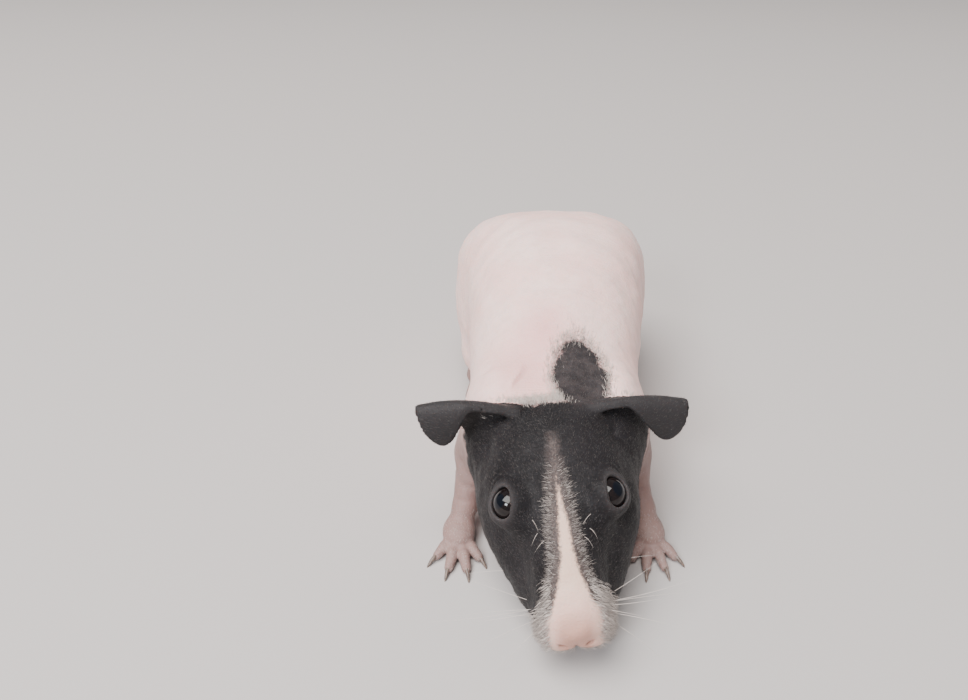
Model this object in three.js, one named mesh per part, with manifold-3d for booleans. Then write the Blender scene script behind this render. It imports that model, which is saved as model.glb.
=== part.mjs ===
// A hairless guinea pig, life size, as a still museum model. It stands low on four feet and faces -Y, its
// head lowered and turned a little to its own left (+X), its ears folded over and held out sideways.
// Millimetres, +Z up, the floor at z = 0. The flesh is one smooth field of lofted sections, balls and tapered
// limbs that melt into each other. It is meshed piece by piece and parted with thin cuts.
import * as THREE from "three";
import { mergeVertices } from "three/addons/utils/BufferGeometryUtils.js";
import Module from "manifold-3d";

const wasm = await Module();
wasm.setup();

// Gap between neighbouring pieces, and the longest edge that a cut's slivers may have.
const GAP = 0.3;
const SLIVER = 0.02;

// Torso and neck, from inside the head to the rump: place along Y, the spine's place across, half width,
// heights of the back and the belly, and how square the section is (2 is an ellipse).
const TORSO = {
  along: [-76, -54, -34, -8, 22, 50, 76, 104],
  across: [-7, -5.5, -4.5, -2.5, 0, 1, 1, 0],
  half: [20, 27, 31.5, 35, 38.5, 42.5, 44, 41],
  top: [54, 63, 71, 84, 94, 94, 86, 68],
  bottom: [20, 14, 13, 13, 13, 13, 15, 22],
  square: [2, 2.1, 2.15, 2.2, 2.4, 2.8, 3, 2.8],
  frontCap: [-70, 16],
  backCap: [76, 43],
};

// Head, in its own frame: x to its left, y back from the nose tip, z up.
const HEAD = {
  along: [0, 7, 14, 22, 32, 44, 56, 68, 80],
  across: [0, 0, 0, 0, 0, 0, 0, 0, 0],
  half: [9, 10.6, 11.8, 13.4, 16.6, 20.8, 24, 24, 21],
  top: [7.5, 12, 15.4, 18.4, 21.2, 23.6, 25, 25, 22],
  bottom: [-9, -12.5, -15.5, -18, -20.5, -22.5, -23.5, -22.5, -19],
  square: [2.3, 2.3, 2.2, 2.1, 2.1, 2.1, 2.1, 2.1, 2],
  frontCap: [5.5, 5.5],
  backCap: [68, 16],
};
const NOSE_TIP = new THREE.Vector3(-3, -118, 19.5);
const HEAD_TURN = { pitch: 18, roll: -8, yaw: 3 };

// Lumps on each side of the head, as centre, radii and how far they melt in: muzzle pad, cheek, jowl, brow.
const FACE_LUMPS = [
  [[5.7, 7.5, -3.6], [6.9, 8, 6.7], 5],
  [[15, 48, -4], [12.5, 22, 15], 8],
  [[10.5, 29, -9], [8.5, 15, 10], 8],
  [[13.5, 43, 16], [6.5, 11, 5.5], 7],
];
const NOSE_PAD = [[0, 4.4, 3.6], [7.4, 5.2, 5.4], 4];
const CHIN = [[0, 13, -13], [7, 9, 4.5], 4];
const NOSTRIL = { centre: [4.3, -0.7, -0.7], radii: [1.1, 2.4, 1.7], tilt: 38 };
const MOUTH = { height: -9.6, back: 17, halfWidth: 12, drop: 2.6, open: 0.8, deep: 2 };
const CLEFT = { wide: 0.8, deep: 1.4 };

// Eyes, in the head's frame: each is set where the line from a point inside the head comes out of the skin,
// and sunk below it.
const EYE = { from: [4, 42.5, 3], outward: [0.64, -0.12, 0.76], sunk: 3.9, radius: 6 };
const LID = { ring: 5.4, thick: 1.3, out: 3, flat: 0.8 };

// Ears, in the head's frame: the folded ridge runs out sideways; a back wall hangs behind it and the petal's
// outer half hangs in front of it. The cup is the hollow of the head in front of the back wall.
const EAR = {
  root: [11, 71, 20.5],
  length: { left: 37.5, right: 33.5 },
  lift: { left: [2, -3], right: [5, 11] },
  arch: 3,
  sweep: 2,
  front: { root: 1, tip: 16.5, from: 0.42, to: 0.85, bend: 82, ease: 5 },
  back: { root: 25, tip: 6, from: 0.36, to: 0.92, bend: 100, ease: 5 },
  round: 0.66,
  thick: 1.9,
  rim: 1,
};
const CUP = { centre: [22, 66, 13], radii: [7.5, 8, 10], melt: 5 };

// Limbs, measured out from the middle of the body at their own place: joints, then the radii of what runs
// between them and how far each melts in.
const FORE = {
  middle: -4.5,
  shoulder: [22, -40, 45],
  elbow: [30, -36, 28],
  wrist: [35, -50, 11],
  palm: [37, -56.5, 5],
  muscle: { radii: [11, 17, 22], melt: 12 },
  upperArm: { radii: [11, 8], melt: 8 },
  forearm: { radii: [7.4, 4.5], melt: 6 },
  hand: { radii: [4.4, 4.4], melt: 3 },
  pad: { radii: [6.2, 7.6, 4.8], melt: 3 },
};
const HIND = {
  middle: 1,
  hip: [25, 72, 38],
  knee: [32, 46, 22],
  heel: [31, 88, 7],
  ball: [34.5, 56, 4.5],
  muscle: { radii: [18, 36, 36], melt: 14 },
  shank: { radii: [10, 6.5], melt: 10 },
  sole: { radii: [5.6, 5], melt: 5 },
  pad: { radii: [7, 9, 4.8], melt: 3 },
};
const HEAD_MELT = 13;

// Toes of one foot, spread like a fan: the way each points, its length, and how the toes are set. Heights and
// girths along a toe are in toe radii.
const FORE_TOES = {
  spread: [-36, -11, 13, 40],
  length: [8.5, 12, 11.5, 8.5],
  radius: 2.1,
  root: 4.6,
  claw: 5.4,
  melt: 1.2,
};
const HIND_TOES = {
  spread: [-16, 2, 19],
  length: [12, 15, 12.5],
  radius: 2.5,
  root: 5,
  claw: 7,
  melt: 1.4,
};
const TOE_HEIGHT = { root: 1.3, knuckle: 1.5, tip: 0.85 };
const TOE_GIRTH = { root: 1.1, knuckle: 1.05, tip: 0.8 };
const CLAW = { plump: 0.52, point: 0.3, sunk: 0.3, arch: 0.6, tipHeight: 0.5 };

// Where the pieces are parted: planes across the spine behind the head and the neck, egg-shaped cuts round
// the shoulder and the haunch, and level cuts over the wrist and the ankle, inside a block round each foot.
const SPINE = new THREE.Vector3(0, 1, 0.12).normalize();
const HEAD_CUT = new THREE.Vector3(0, -52, 40);
const NECK_CUT = new THREE.Vector3(0, -28, 40);
const FORE_CUT = { centre: [31, -42, 22], radii: [16, 24, 31] };
const HIND_CUT = { centre: [33, 72, 22], radii: [17, 42, 38] };
const WRIST_CUT = 11.5;
const ANKLE_CUT = 12.5;
const FOOT_CUTS = { fore: { x: [14, 56], y: [-96, -20] }, hind: { x: [16, 60], y: [22, 110] } };

// The box that each piece is meshed in, and the step of its grid. The limbs' x is out from their middle.
const BOXES = {
  head: { x: [-50, 44], y: [-124, -36], z: [-2, 82], step: 3.3 },
  headGrown: { x: [-44, 40], y: [-70, -30], z: [20, 90], step: 3 },
  neck: { x: [-48, 44], y: [-64, -18], z: [2, 96], step: 5 },
  torso: { x: [-62, 62], y: [-45, 135], z: [-4, 110], step: 8 },
  foreleg: { x: [10, 54], y: [-70, -10], z: [4, 60], step: 4.4 },
  forepaw: { x: [18, 60], y: [-86, -38], z: [-6, 20], step: 2.25 },
  hindleg: { x: [8, 58], y: [22, 122], z: [2, 66], step: 5.2 },
  hindfoot: { x: [18, 60], y: [24, 104], z: [-6, 20], step: 3.4 },
};

const radians = THREE.MathUtils.degToRad;
const vector = ([x, y, z]) => new THREE.Vector3(x, y, z);
const onSide = ([x, y, z], side, middle = 0) => new THREE.Vector3(middle + x * side, y, z);

// Fields give about the distance in millimetres from p to a surface, below zero inside.

// A smooth curve through a row of sizes: cubics, sloped as the neighbours on both sides are.
function curveThrough(places, sizes) {
  const last = places.length - 1;
  const slopes = sizes.map((size, i) => {
    const a = Math.max(i - 1, 0);
    const b = Math.min(i + 1, last);
    return (sizes[b] - sizes[a]) / (places[b] - places[a]);
  });
  return (place) => {
    const at = Math.min(Math.max(place, places[0]), places[last]);
    let i = 0;
    while (i < last - 1 && at > places[i + 1]) i++;
    const h = places[i + 1] - places[i];
    const t = (at - places[i]) / h;
    return (
      sizes[i] * (1 + 2 * t) * (1 - t) ** 2 +
      slopes[i] * h * t * (1 - t) ** 2 +
      sizes[i + 1] * t * t * (3 - 2 * t) +
      slopes[i + 1] * h * t * t * (t - 1)
    );
  };
}

// A body lofted along Y through sections, with round caps at both ends.
function lofted(sizes) {
  const across = curveThrough(sizes.along, sizes.across);
  const half = curveThrough(sizes.along, sizes.half);
  const top = curveThrough(sizes.along, sizes.top);
  const bottom = curveThrough(sizes.along, sizes.bottom);
  const square = curveThrough(sizes.along, sizes.square);
  const [frontStart, frontLength] = sizes.frontCap;
  const [backStart, backLength] = sizes.backCap;
  return (p) => {
    const a = half(p.y);
    const b = (top(p.y) - bottom(p.y)) / 2;
    const x = Math.abs(p.x - across(p.y)) / a;
    const z = Math.abs(p.z - (top(p.y) + bottom(p.y)) / 2) / b;
    const n = square(p.y);
    const section = (x ** n + z ** n) ** (1 / n);
    const front = Math.max(0, (frontStart - p.y) / frontLength);
    const back = Math.max(0, (p.y - backStart) / backLength);
    return (Math.hypot(section, front, back) - 1) * Math.min(a, b);
  };
}

// An ellipsoid.
function ball(centre, radii) {
  return (p) => {
    const x = (p.x - centre.x) / radii.x;
    const y = (p.y - centre.y) / radii.y;
    const z = (p.z - centre.z) / radii.z;
    const near = Math.hypot(x, y, z);
    const steep = Math.hypot(x / radii.x, y / radii.y, z / radii.z);
    return steep > 1e-9 ? (near * (near - 1)) / steep : -radii.x;
  };
}

// A round limb that tapers from one end to the other.
function limb(from, to, fromRadius, toRadius) {
  const along = new THREE.Vector3().subVectors(to, from);
  const lengthSq = along.lengthSq();
  const q = new THREE.Vector3();
  return (p) => {
    q.subVectors(p, from);
    const t = Math.min(Math.max(q.dot(along) / lengthSq, 0), 1);
    return q.addScaledVector(along, -t).length() - (fromRadius + (toRadius - fromRadius) * t);
  };
}

// Two fields melted together over a width k.
function melt(a, b, k) {
  const h = Math.max(k - Math.abs(a - b), 0) / k;
  return Math.min(a, b) - (h * h * k) / 4;
}

// The head in its own frame.
const headLoft = lofted(HEAD);
const headLumps = [NOSE_PAD, CHIN].map(([at, radii, k]) => [ball(vector(at), vector(radii)), k]);
for (const side of [1, -1])
  for (const [at, radii, k] of FACE_LUMPS) headLumps.push([ball(onSide(at, side), vector(radii)), k]);

const headEuler = new THREE.Euler(...Object.values(HEAD_TURN).map(radians), "ZXY");
const headPlace = new THREE.Matrix4()
  .makeRotationFromEuler(headEuler)
  .setPosition(NOSE_TIP);
const toHead = headPlace.clone().invert();
const inHead = new THREE.Vector3();

const cups = [1, -1].map((side) => ball(onSide(CUP.centre, side), vector(CUP.radii)));

function headField(p) {
  inHead.copy(p).applyMatrix4(toHead);
  let d = headLoft(inHead);
  for (const [lump, k] of headLumps) d = melt(d, lump(inHead), k);
  for (const cup of cups) d = -melt(-d, cup(inHead), CUP.melt);
  return d;
}

// Root, knuckle, tip and claw tip of each toe of the foot whose ball is at a place.
function toesOf(place, sizes, side) {
  return sizes.spread.map((angle, i) => {
    const turn = radians(angle) * side;
    const way = new THREE.Vector3(Math.sin(turn), -Math.cos(turn), 0);
    const at = (reach, height) => place.clone().addScaledVector(way, reach).setZ(height);
    const { radius, root, claw } = sizes;
    const length = sizes.length[i];
    return {
      root: at(root, radius * TOE_HEIGHT.root),
      knuckle: at(root + length / 2, radius * TOE_HEIGHT.knuckle),
      tip: at(root + length, radius * TOE_HEIGHT.tip),
      clawTip: at(root + length + claw, CLAW.tipHeight),
      way,
      radius,
    };
  });
}

function toe({ root, knuckle, tip, radius }) {
  const upper = limb(root, knuckle, radius * TOE_GIRTH.root, radius * TOE_GIRTH.knuckle);
  const lower = limb(knuckle, tip, radius * TOE_GIRTH.knuckle, radius * TOE_GIRTH.tip);
  return (p) => Math.min(upper(p), lower(p));
}

// The fields of the limbs on one side, each with the width that it melts over.
function limbsOf(side) {
  const joint = (leg, name) => onSide(leg[name], side, leg.middle);
  const bone = (leg, from, to, { radii, melt }) => [limb(joint(leg, from), joint(leg, to), ...radii), melt];
  const lump = (leg, at, { radii, melt }) => [ball(joint(leg, at), vector(radii)), melt];
  const foreToes = toesOf(joint(FORE, "palm"), FORE_TOES, side);
  const hindToes = toesOf(joint(HIND, "ball"), HIND_TOES, side);
  return {
    side,
    foreToes,
    hindToes,
    muscles: [lump(FORE, "shoulder", FORE.muscle), lump(HIND, "hip", HIND.muscle)],
    fore: [
      bone(FORE, "shoulder", "elbow", FORE.upperArm),
      bone(FORE, "elbow", "wrist", FORE.forearm),
      bone(FORE, "wrist", "palm", FORE.hand),
      lump(FORE, "palm", FORE.pad),
      ...foreToes.map((t) => [toe(t), FORE_TOES.melt]),
    ],
    hind: [
      bone(HIND, "knee", "heel", HIND.shank),
      bone(HIND, "heel", "ball", HIND.sole),
      lump(HIND, "ball", HIND.pad),
      ...hindToes.map((t) => [toe(t), HIND_TOES.melt]),
    ],
  };
}
const limbs = [1, -1].map(limbsOf);
const torsoField = lofted(TORSO);

// All the flesh but the ears.
function flesh(p) {
  let d = melt(torsoField(p), headField(p), HEAD_MELT);
  for (const { muscles, fore, hind } of limbs) {
    for (const [field, k] of muscles) d = melt(d, field(p), k);
    for (const [field, k] of p.y < 0 ? fore : hind) d = melt(d, field(p), k);
  }
  return d;
}

// Grid places from low to high, set a step apart.
const steps = (low, high, step) =>
  Array.from({ length: Math.ceil((high - low) / step) + 1 }, (_, i) => low + i * step);

// The surface of a field inside a box: a point in each grid cell that the surface crosses, drawn onto the
// surface, and a square round each grid edge that it crosses. The box closes it where it cuts the flesh.
function meshOf(field, { x, y, z, step }) {
  const places = [x, y, z].map(([low, high]) => steps(low, high, step));
  const [nx, ny, nz] = places.map((row) => row.length);
  const index = (i, j, k) => (k * ny + j) * nx + i;
  const place = (i, j, k) => new THREE.Vector3(places[0][i], places[1][j], places[2][k]);
  const wall = (i, j, k) => !i || !j || !k || i === nx - 1 || j === ny - 1 || k === nz - 1;
  const value = new Float64Array(nx * ny * nz);
  const eachPlace = (count, visit) => {
    for (let k = 0; k < nz - count; k++)
      for (let j = 0; j < ny - count; j++) for (let i = 0; i < nx - count; i++) visit(i, j, k);
  };
  eachPlace(0, (i, j, k) => {
    const d = field(place(i, j, k));
    value[index(i, j, k)] = wall(i, j, k) ? Math.max(d, step / 2) : d;
  });
  const pointOf = new Map();
  const points = [];
  eachPlace(1, (i, j, k) => {
    const sum = new THREE.Vector3();
    let crossings = 0;
    for (const [a, b] of CELL_EDGES) {
      const va = value[index(i + a[0], j + a[1], k + a[2])];
      const vb = value[index(i + b[0], j + b[1], k + b[2])];
      if (va < 0 === vb < 0) continue;
      const from = place(i + a[0], j + a[1], k + a[2]);
      sum.add(from.lerp(place(i + b[0], j + b[1], k + b[2]), va / (va - vb)));
      crossings++;
    }
    if (!crossings) return;
    const p = sum.divideScalar(crossings);
    if (!wall(i, j, k) && !wall(i + 1, j + 1, k + 1)) drawOnto(field, p, step * 0.3);
    pointOf.set(index(i, j, k), points.length);
    points.push(p);
  });
  const faces = [];
  const addSquare = (corners, flip) => {
    const [a, b, c, d] = corners;
    const short = points[a].distanceToSquared(points[c]) <= points[b].distanceToSquared(points[d]);
    const two = short ? [a, b, c, a, c, d] : [b, c, d, b, d, a];
    faces.push(...(flip ? two.reverse() : two));
  };
  eachPlace(1, (i, j, k) => {
    const inside = value[index(i, j, k)] < 0;
    const near = (di, dj, dk) => pointOf.get(index(i - di, j - dj, k - dk));
    if (j && k && inside !== value[index(i + 1, j, k)] < 0)
      addSquare([near(0, 1, 1), near(0, 0, 1), near(0, 0, 0), near(0, 1, 0)], !inside);
    if (i && k && inside !== value[index(i, j + 1, k)] < 0)
      addSquare([near(1, 0, 1), near(1, 0, 0), near(0, 0, 0), near(0, 0, 1)], !inside);
    if (i && j && inside !== value[index(i, j, k + 1)] < 0)
      addSquare([near(1, 1, 0), near(0, 1, 0), near(0, 0, 0), near(1, 0, 0)], !inside);
  });
  return solidFrom(points.flatMap((p) => p.toArray()), faces);
}

// The twelve edges of a grid cell, each as its two corners.
const CELL_EDGES = [0, 1, 2].flatMap((axis) =>
  [[0, 0], [0, 1], [1, 0], [1, 1]].map((rest) => {
    const from = rest.toSpliced(axis, 0, 0);
    const to = rest.toSpliced(axis, 0, 1);
    return [from, to];
  }),
);

// Moves p onto the surface along the field's slope, by no more than a short way.
function drawOnto(field, p, furthest) {
  const h = 0.05;
  const start = p.clone();
  const slope = new THREE.Vector3();
  for (let round = 0; round < 3; round++) {
    const d = field(p);
    for (const axis of ["x", "y", "z"]) {
      const ahead = p.clone();
      ahead[axis] += h;
      slope[axis] = (field(ahead) - d) / h;
    }
    p.addScaledVector(slope, -d / Math.max(slope.lengthSq(), 0.05));
    p.sub(start).clampLength(0, furthest).add(start);
  }
}

// Solids are closed meshes that can be joined and cut.
function solidFrom(positions, faces) {
  return new wasm.Manifold(
    new wasm.Mesh({
      numProp: 3,
      vertProperties: new Float32Array(positions),
      triVerts: new Uint32Array(faces),
    }),
  );
}

function solidOf(geometry) {
  const plain = geometry.clone();
  plain.deleteAttribute("normal");
  plain.deleteAttribute("uv");
  const merged = mergeVertices(plain, 1e-3);
  const faces = Array.from(merged.index.array);
  const solid = solidFrom(merged.attributes.position.array, faces);
  return solid.volume() > 0 ? solid : solidFrom(merged.attributes.position.array, faces.reverse());
}

// A geometry with each point moved by a function.
function shaped(geometry, move) {
  const position = geometry.attributes.position;
  const p = new THREE.Vector3();
  for (let i = 0; i < position.count; i++) {
    p.copy(move(p.fromBufferAttribute(position, i)));
    position.setXYZ(i, p.x, p.y, p.z);
  }
  return geometry;
}

// A cutting block whose top face passes through a point, square to a direction.
function blockBelow(point, direction) {
  const size = 400;
  const turn = new THREE.Quaternion().setFromUnitVectors(new THREE.Vector3(0, 0, 1), direction);
  const block = new THREE.BoxGeometry(size, size, size).translate(0, 0, -size / 2).applyQuaternion(turn);
  return solidOf(block.translate(point.x, point.y, point.z));
}
const belowHeight = (z) => blockBelow(new THREE.Vector3(0, 0, z), new THREE.Vector3(0, 0, 1));

// An ellipsoid block.
function egg(centre, radii, grown = 0, rounds = 24) {
  const sphere = new THREE.SphereGeometry(1, rounds, rounds / 2);
  sphere.scale(radii[0] + grown, radii[1] + grown, radii[2] + grown);
  return solidOf(sphere.translate(centre.x, centre.y, centre.z));
}

// The largest body of a solid, without loose scraps or sealed hollows.
const largest = (solid) => solid.decompose().sort((a, b) => b.volume() - a.volume())[0];

const COLOURS = {
  pink: { color: 0xdfc1b4, roughness: 0.55 },
  black: { color: 0x2b2829, roughness: 0.6 },
  eye: { color: 0x0d0e12, roughness: 0.08 },
};

// The corners of a mesh's triangles, with both ends of each very short edge drawn into one.
function withoutSlivers(positions, corners) {
  const joined = Array.from({ length: positions.length / 3 }, (_, i) => i);
  const root = (i) => (joined[i] === i ? i : (joined[i] = root(joined[i])));
  const at = (i) => new THREE.Vector3().fromArray(positions, 3 * i);
  for (let i = 0; i < corners.length; i++) {
    const next = i % 3 === 2 ? i - 2 : i + 1;
    const short = at(corners[i]).distanceTo(at(corners[next])) < SLIVER;
    if (short) joined[root(corners[i])] = root(corners[next]);
  }
  const kept = [];
  for (let i = 0; i < corners.length; i += 3) {
    const [a, b, c] = [0, 1, 2].map((n) => root(corners[i + n]));
    if (a !== b && b !== c && c !== a) kept.push(a, b, c);
  }
  return kept;
}

// Where two folds of one surface touch at a corner, each is drawn back a little into its own flesh.
function partTouching(geometry) {
  geometry.computeVertexNormals();
  const { position, normal } = geometry.attributes;
  const p = new THREE.Vector3();
  const n = new THREE.Vector3();
  const used = new Set(geometry.index.array);
  const corners = new Map();
  for (const i of used) {
    const key = p.fromBufferAttribute(position, i).toArray().map((v) => Math.round(v / SLIVER)).join();
    corners.set(key, [...(corners.get(key) ?? []), i]);
  }
  for (const touching of corners.values()) {
    if (touching.length < 2) continue;
    for (const i of touching) {
      p.fromBufferAttribute(position, i).addScaledVector(n.fromBufferAttribute(normal, i), -4 * SLIVER);
      position.setXYZ(i, p.x, p.y, p.z);
    }
  }
  return geometry;
}

const animal = new THREE.Group();
function add(name, solid, look) {
  const body = largest(solid).getMesh();
  const geometry = new THREE.BufferGeometry();
  geometry.setAttribute("position", new THREE.BufferAttribute(body.vertProperties, 3));
  geometry.setIndex(withoutSlivers(body.vertProperties, body.triVerts));
  partTouching(geometry).computeVertexNormals();
  const mesh = new THREE.Mesh(geometry, new THREE.MeshStandardMaterial({ ...look, metalness: 0 }));
  mesh.name = name;
  animal.add(mesh);
}

const legCut = (leg, { centre, radii }, side, grown) => egg(onSide(centre, side, leg.middle), radii, grown);
const foreCut = (side, grown = 0) => legCut(FORE, FORE_CUT, side, grown);
const hindCut = (side, grown = 0) => legCut(HIND, HIND_CUT, side, grown);
const floor = belowHeight(0);

// The blocks that hold the feet of one side, up to the cuts over the wrist and the ankle.
function footBlocks(side) {
  return [
    [FORE, FOOT_CUTS.fore, WRIST_CUT],
    [HIND, FOOT_CUTS.hind, ANKLE_CUT],
  ].map(([limb, { x, y }, height]) => {
    const block = new THREE.BoxGeometry(x[1] - x[0], y[1] - y[0], 2 * (height + GAP));
    return solidOf(block.translate(limb.middle + (side * (x[0] + x[1])) / 2, (y[0] + y[1]) / 2, 0));
  });
}

// All that lies in front of a cut across the spine, and the gap behind it.
const past = (cut) => blockBelow(cut.clone().addScaledVector(SPINE, GAP), SPINE);

// The middle of one eye.
function eyeMiddle(side) {
  const out = onSide(EYE.outward, side).normalize();
  const at = onSide(EYE.from, side);
  const p = new THREE.Vector3();
  while (flesh(p.copy(at).applyMatrix4(headPlace)) < 0) at.addScaledVector(out, 0.1);
  return { at: at.addScaledVector(out, -EYE.sunk), out };
}

// One eye: a ball, and the lids round it, as a flat ring.
function eye(side, grown = 0) {
  const radius = EYE.radius;
  return egg(eyeMiddle(side).at.applyMatrix4(headPlace), [radius, radius, radius], grown, 16);
}
function lidRing(side) {
  const { at, out } = eyeMiddle(side);
  const ring = new THREE.TorusGeometry(LID.ring, LID.thick, 6, 18).scale(1, 1, LID.flat);
  ring.applyQuaternion(new THREE.Quaternion().setFromUnitVectors(new THREE.Vector3(0, 0, 1), out));
  at.addScaledVector(out, LID.out);
  return solidOf(ring.translate(at.x, at.y, at.z).applyMatrix4(headPlace));
}

function nostril(side) {
  const [x, y, z] = NOSTRIL.radii;
  const hole = new THREE.SphereGeometry(1, 10, 8).scale(x, y, z).rotateY(radians(NOSTRIL.tilt * side));
  const at = onSide(NOSTRIL.centre, side);
  return solidOf(hole.translate(at.x, at.y, at.z).applyMatrix4(headPlace));
}

// The line of the mouth: a thin blade bent round the muzzle that cuts a groove, and a short upright one that
// cuts the cleft of the upper lip.
function mouthLine() {
  const blade = new THREE.BoxGeometry(2, 1, 1, 16, 1, 1);
  return solidOf(
    shaped(blade, (p) => {
      const angle = p.x * radians(88);
      const inward = p.y * MOUTH.deep * 2;
      const x = Math.sin(angle) * (MOUTH.halfWidth - inward);
      const y = MOUTH.back - Math.cos(angle) * (MOUTH.back + 1 - inward);
      const z = MOUTH.height - MOUTH.drop * Math.sin(angle) ** 2 + p.z * MOUTH.open;
      return new THREE.Vector3(x, y, z);
    }).applyMatrix4(headPlace),
  );
}
function lipCleft() {
  const height = 1.5 - MOUTH.height;
  const blade = new THREE.BoxGeometry(CLEFT.wide, CLEFT.deep * 2, height);
  return solidOf(blade.translate(0, -0.2, MOUTH.height + height / 2).applyMatrix4(headPlace));
}

// One ear. At each place along the ridge the sheet falls away in front and behind, ever steeper, as
// a petal folded over.
function earPoint(along, across, side) {
  const tip = Math.max(0, (along - EAR.round) / (1 - EAR.round));
  const rounding = Math.sqrt(Math.max(1 - tip * tip, 0.02));
  const sizes = across > 0 ? EAR.front : EAR.back;
  const widening = THREE.MathUtils.smoothstep(along, sizes.from, sizes.to);
  const reach = Math.abs(across) * THREE.MathUtils.lerp(sizes.root, sizes.tip, widening) * rounding;
  const fall = (radians(sizes.bend) * reach) / (reach + sizes.ease);
  const x = EAR.root[0] + EAR.length[side > 0 ? "left" : "right"] * along;
  const y = EAR.root[1] + EAR.sweep * along - Math.sign(across) * reach * Math.cos(fall);
  const lift = THREE.MathUtils.lerp(...EAR.lift[side > 0 ? "left" : "right"], along);
  const z = EAR.root[2] + lift + EAR.arch * Math.sin(along * Math.PI) - reach * Math.sin(fall);
  return onSide([x, y, z], side);
}

function ear(side) {
  const block = new THREE.BoxGeometry(1, 2, 1, 12, 10, 1);
  const h = 1e-3;
  const sheet = shaped(block, (p) => {
    const along = Math.min(Math.max(p.x + 0.5, h), 1 - h);
    const across = Math.min(Math.max(p.y, h - 1), 1 - h);
    const at = earPoint(p.x + 0.5, p.y, side);
    const outward = earPoint(along + h, across, side).sub(earPoint(along - h, across, side));
    const forward = earPoint(along, across + h, side).sub(earPoint(along, across - h, side));
    const normal = outward.cross(forward).normalize();
    const edge = Math.max(Math.abs(p.y), p.x * 2);
    const thick = THREE.MathUtils.lerp(EAR.thick, EAR.rim, THREE.MathUtils.smoothstep(edge, 0.6, 1));
    return at.addScaledVector(normal, p.z * thick);
  });
  return solidOf(sheet.applyMatrix4(headPlace));
}

let head = meshOf(flesh, BOXES.head).intersect(blockBelow(HEAD_CUT, SPINE));
head = head.subtract(mouthLine()).subtract(lipCleft());
for (const side of [1, -1]) {
  head = head.subtract(nostril(side)).subtract(foreCut(side, GAP));
  head = head.add(lidRing(side)).subtract(eye(side, GAP));
}
add("head", head, COLOURS.black);
const headGrown = meshOf((p) => flesh(p) - GAP, BOXES.headGrown);
for (const side of [1, -1]) {
  const name = side > 0 ? "left" : "right";
  add("eye_" + name, eye(side), COLOURS.eye);
  add("ear_" + name, ear(side).subtract(headGrown), COLOURS.black);
}

let neck = meshOf(flesh, BOXES.neck).intersect(blockBelow(NECK_CUT, SPINE));
neck = neck.subtract(past(HEAD_CUT));
for (const side of [1, -1]) neck = neck.subtract(foreCut(side, GAP)).subtract(footBlocks(side)[0]);
add("neck", neck, COLOURS.pink);

let torso = meshOf(flesh, BOXES.torso).subtract(past(NECK_CUT));
for (const side of [1, -1]) {
  const cuts = [foreCut(side, GAP), hindCut(side, GAP), ...footBlocks(side)];
  for (const cut of cuts) torso = torso.subtract(cut);
}
add("torso", torso, COLOURS.pink);

// A claw: a cone with its root in the toe, bent down to the floor along the toe's way.
function claw({ tip, clawTip, way, radius }) {
  const plump = radius * CLAW.plump;
  const cone = new THREE.CylinderGeometry(plump * CLAW.point, plump, 1, 8, 3);
  const reach = new THREE.Vector3().subVectors(clawTip, tip);
  const across = new THREE.Vector3(-way.y, way.x, 0);
  return solidOf(
    shaped(cone, (p) => {
      const t = (1 + CLAW.sunk) * (p.y + 0.5) - CLAW.sunk;
      const arch = plump * CLAW.arch * (1 - (2 * t - 1 + CLAW.sunk) ** 2);
      const at = tip.clone().addScaledVector(reach, t).addScaledVector(across, p.x);
      at.z += arch + p.z;
      return at;
    }),
  );
}

for (const { side, foreToes, hindToes } of limbs) {
  const name = side > 0 ? "left" : "right";
  const limbMesh = (leg, box) => {
    const x = box.x.map((out) => leg.middle + side * out).sort((a, b) => a - b);
    return meshOf(flesh, { ...box, x });
  };
  const foreLeg = limbMesh(FORE, BOXES.foreleg).intersect(foreCut(side));
  add("foreleg_" + name, foreLeg.subtract(belowHeight(WRIST_CUT + GAP)), COLOURS.pink);
  let paw = limbMesh(FORE, BOXES.forepaw);
  for (const t of foreToes) paw = paw.add(claw(t));
  add("forepaw_" + name, paw.intersect(belowHeight(WRIST_CUT)).subtract(floor), COLOURS.pink);

  const hindLeg = limbMesh(HIND, BOXES.hindleg).intersect(hindCut(side));
  add("hindleg_" + name, hindLeg.subtract(belowHeight(ANKLE_CUT + GAP)), COLOURS.pink);
  let foot = limbMesh(HIND, BOXES.hindfoot);
  for (const t of hindToes) foot = foot.add(claw(t));
  add("hindfoot_" + name, foot.intersect(belowHeight(ANKLE_CUT)).subtract(floor), COLOURS.pink);
}

// The origin is under the middle of the animal, on the floor.
const bounds = new THREE.Box3().setFromObject(animal);
const middle = bounds.getCenter(new THREE.Vector3());
for (const mesh of animal.children) mesh.geometry.translate(-middle.x, -middle.y, -bounds.min.z);

export default animal;
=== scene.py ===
import bpy
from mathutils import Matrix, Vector
import numpy as np


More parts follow.
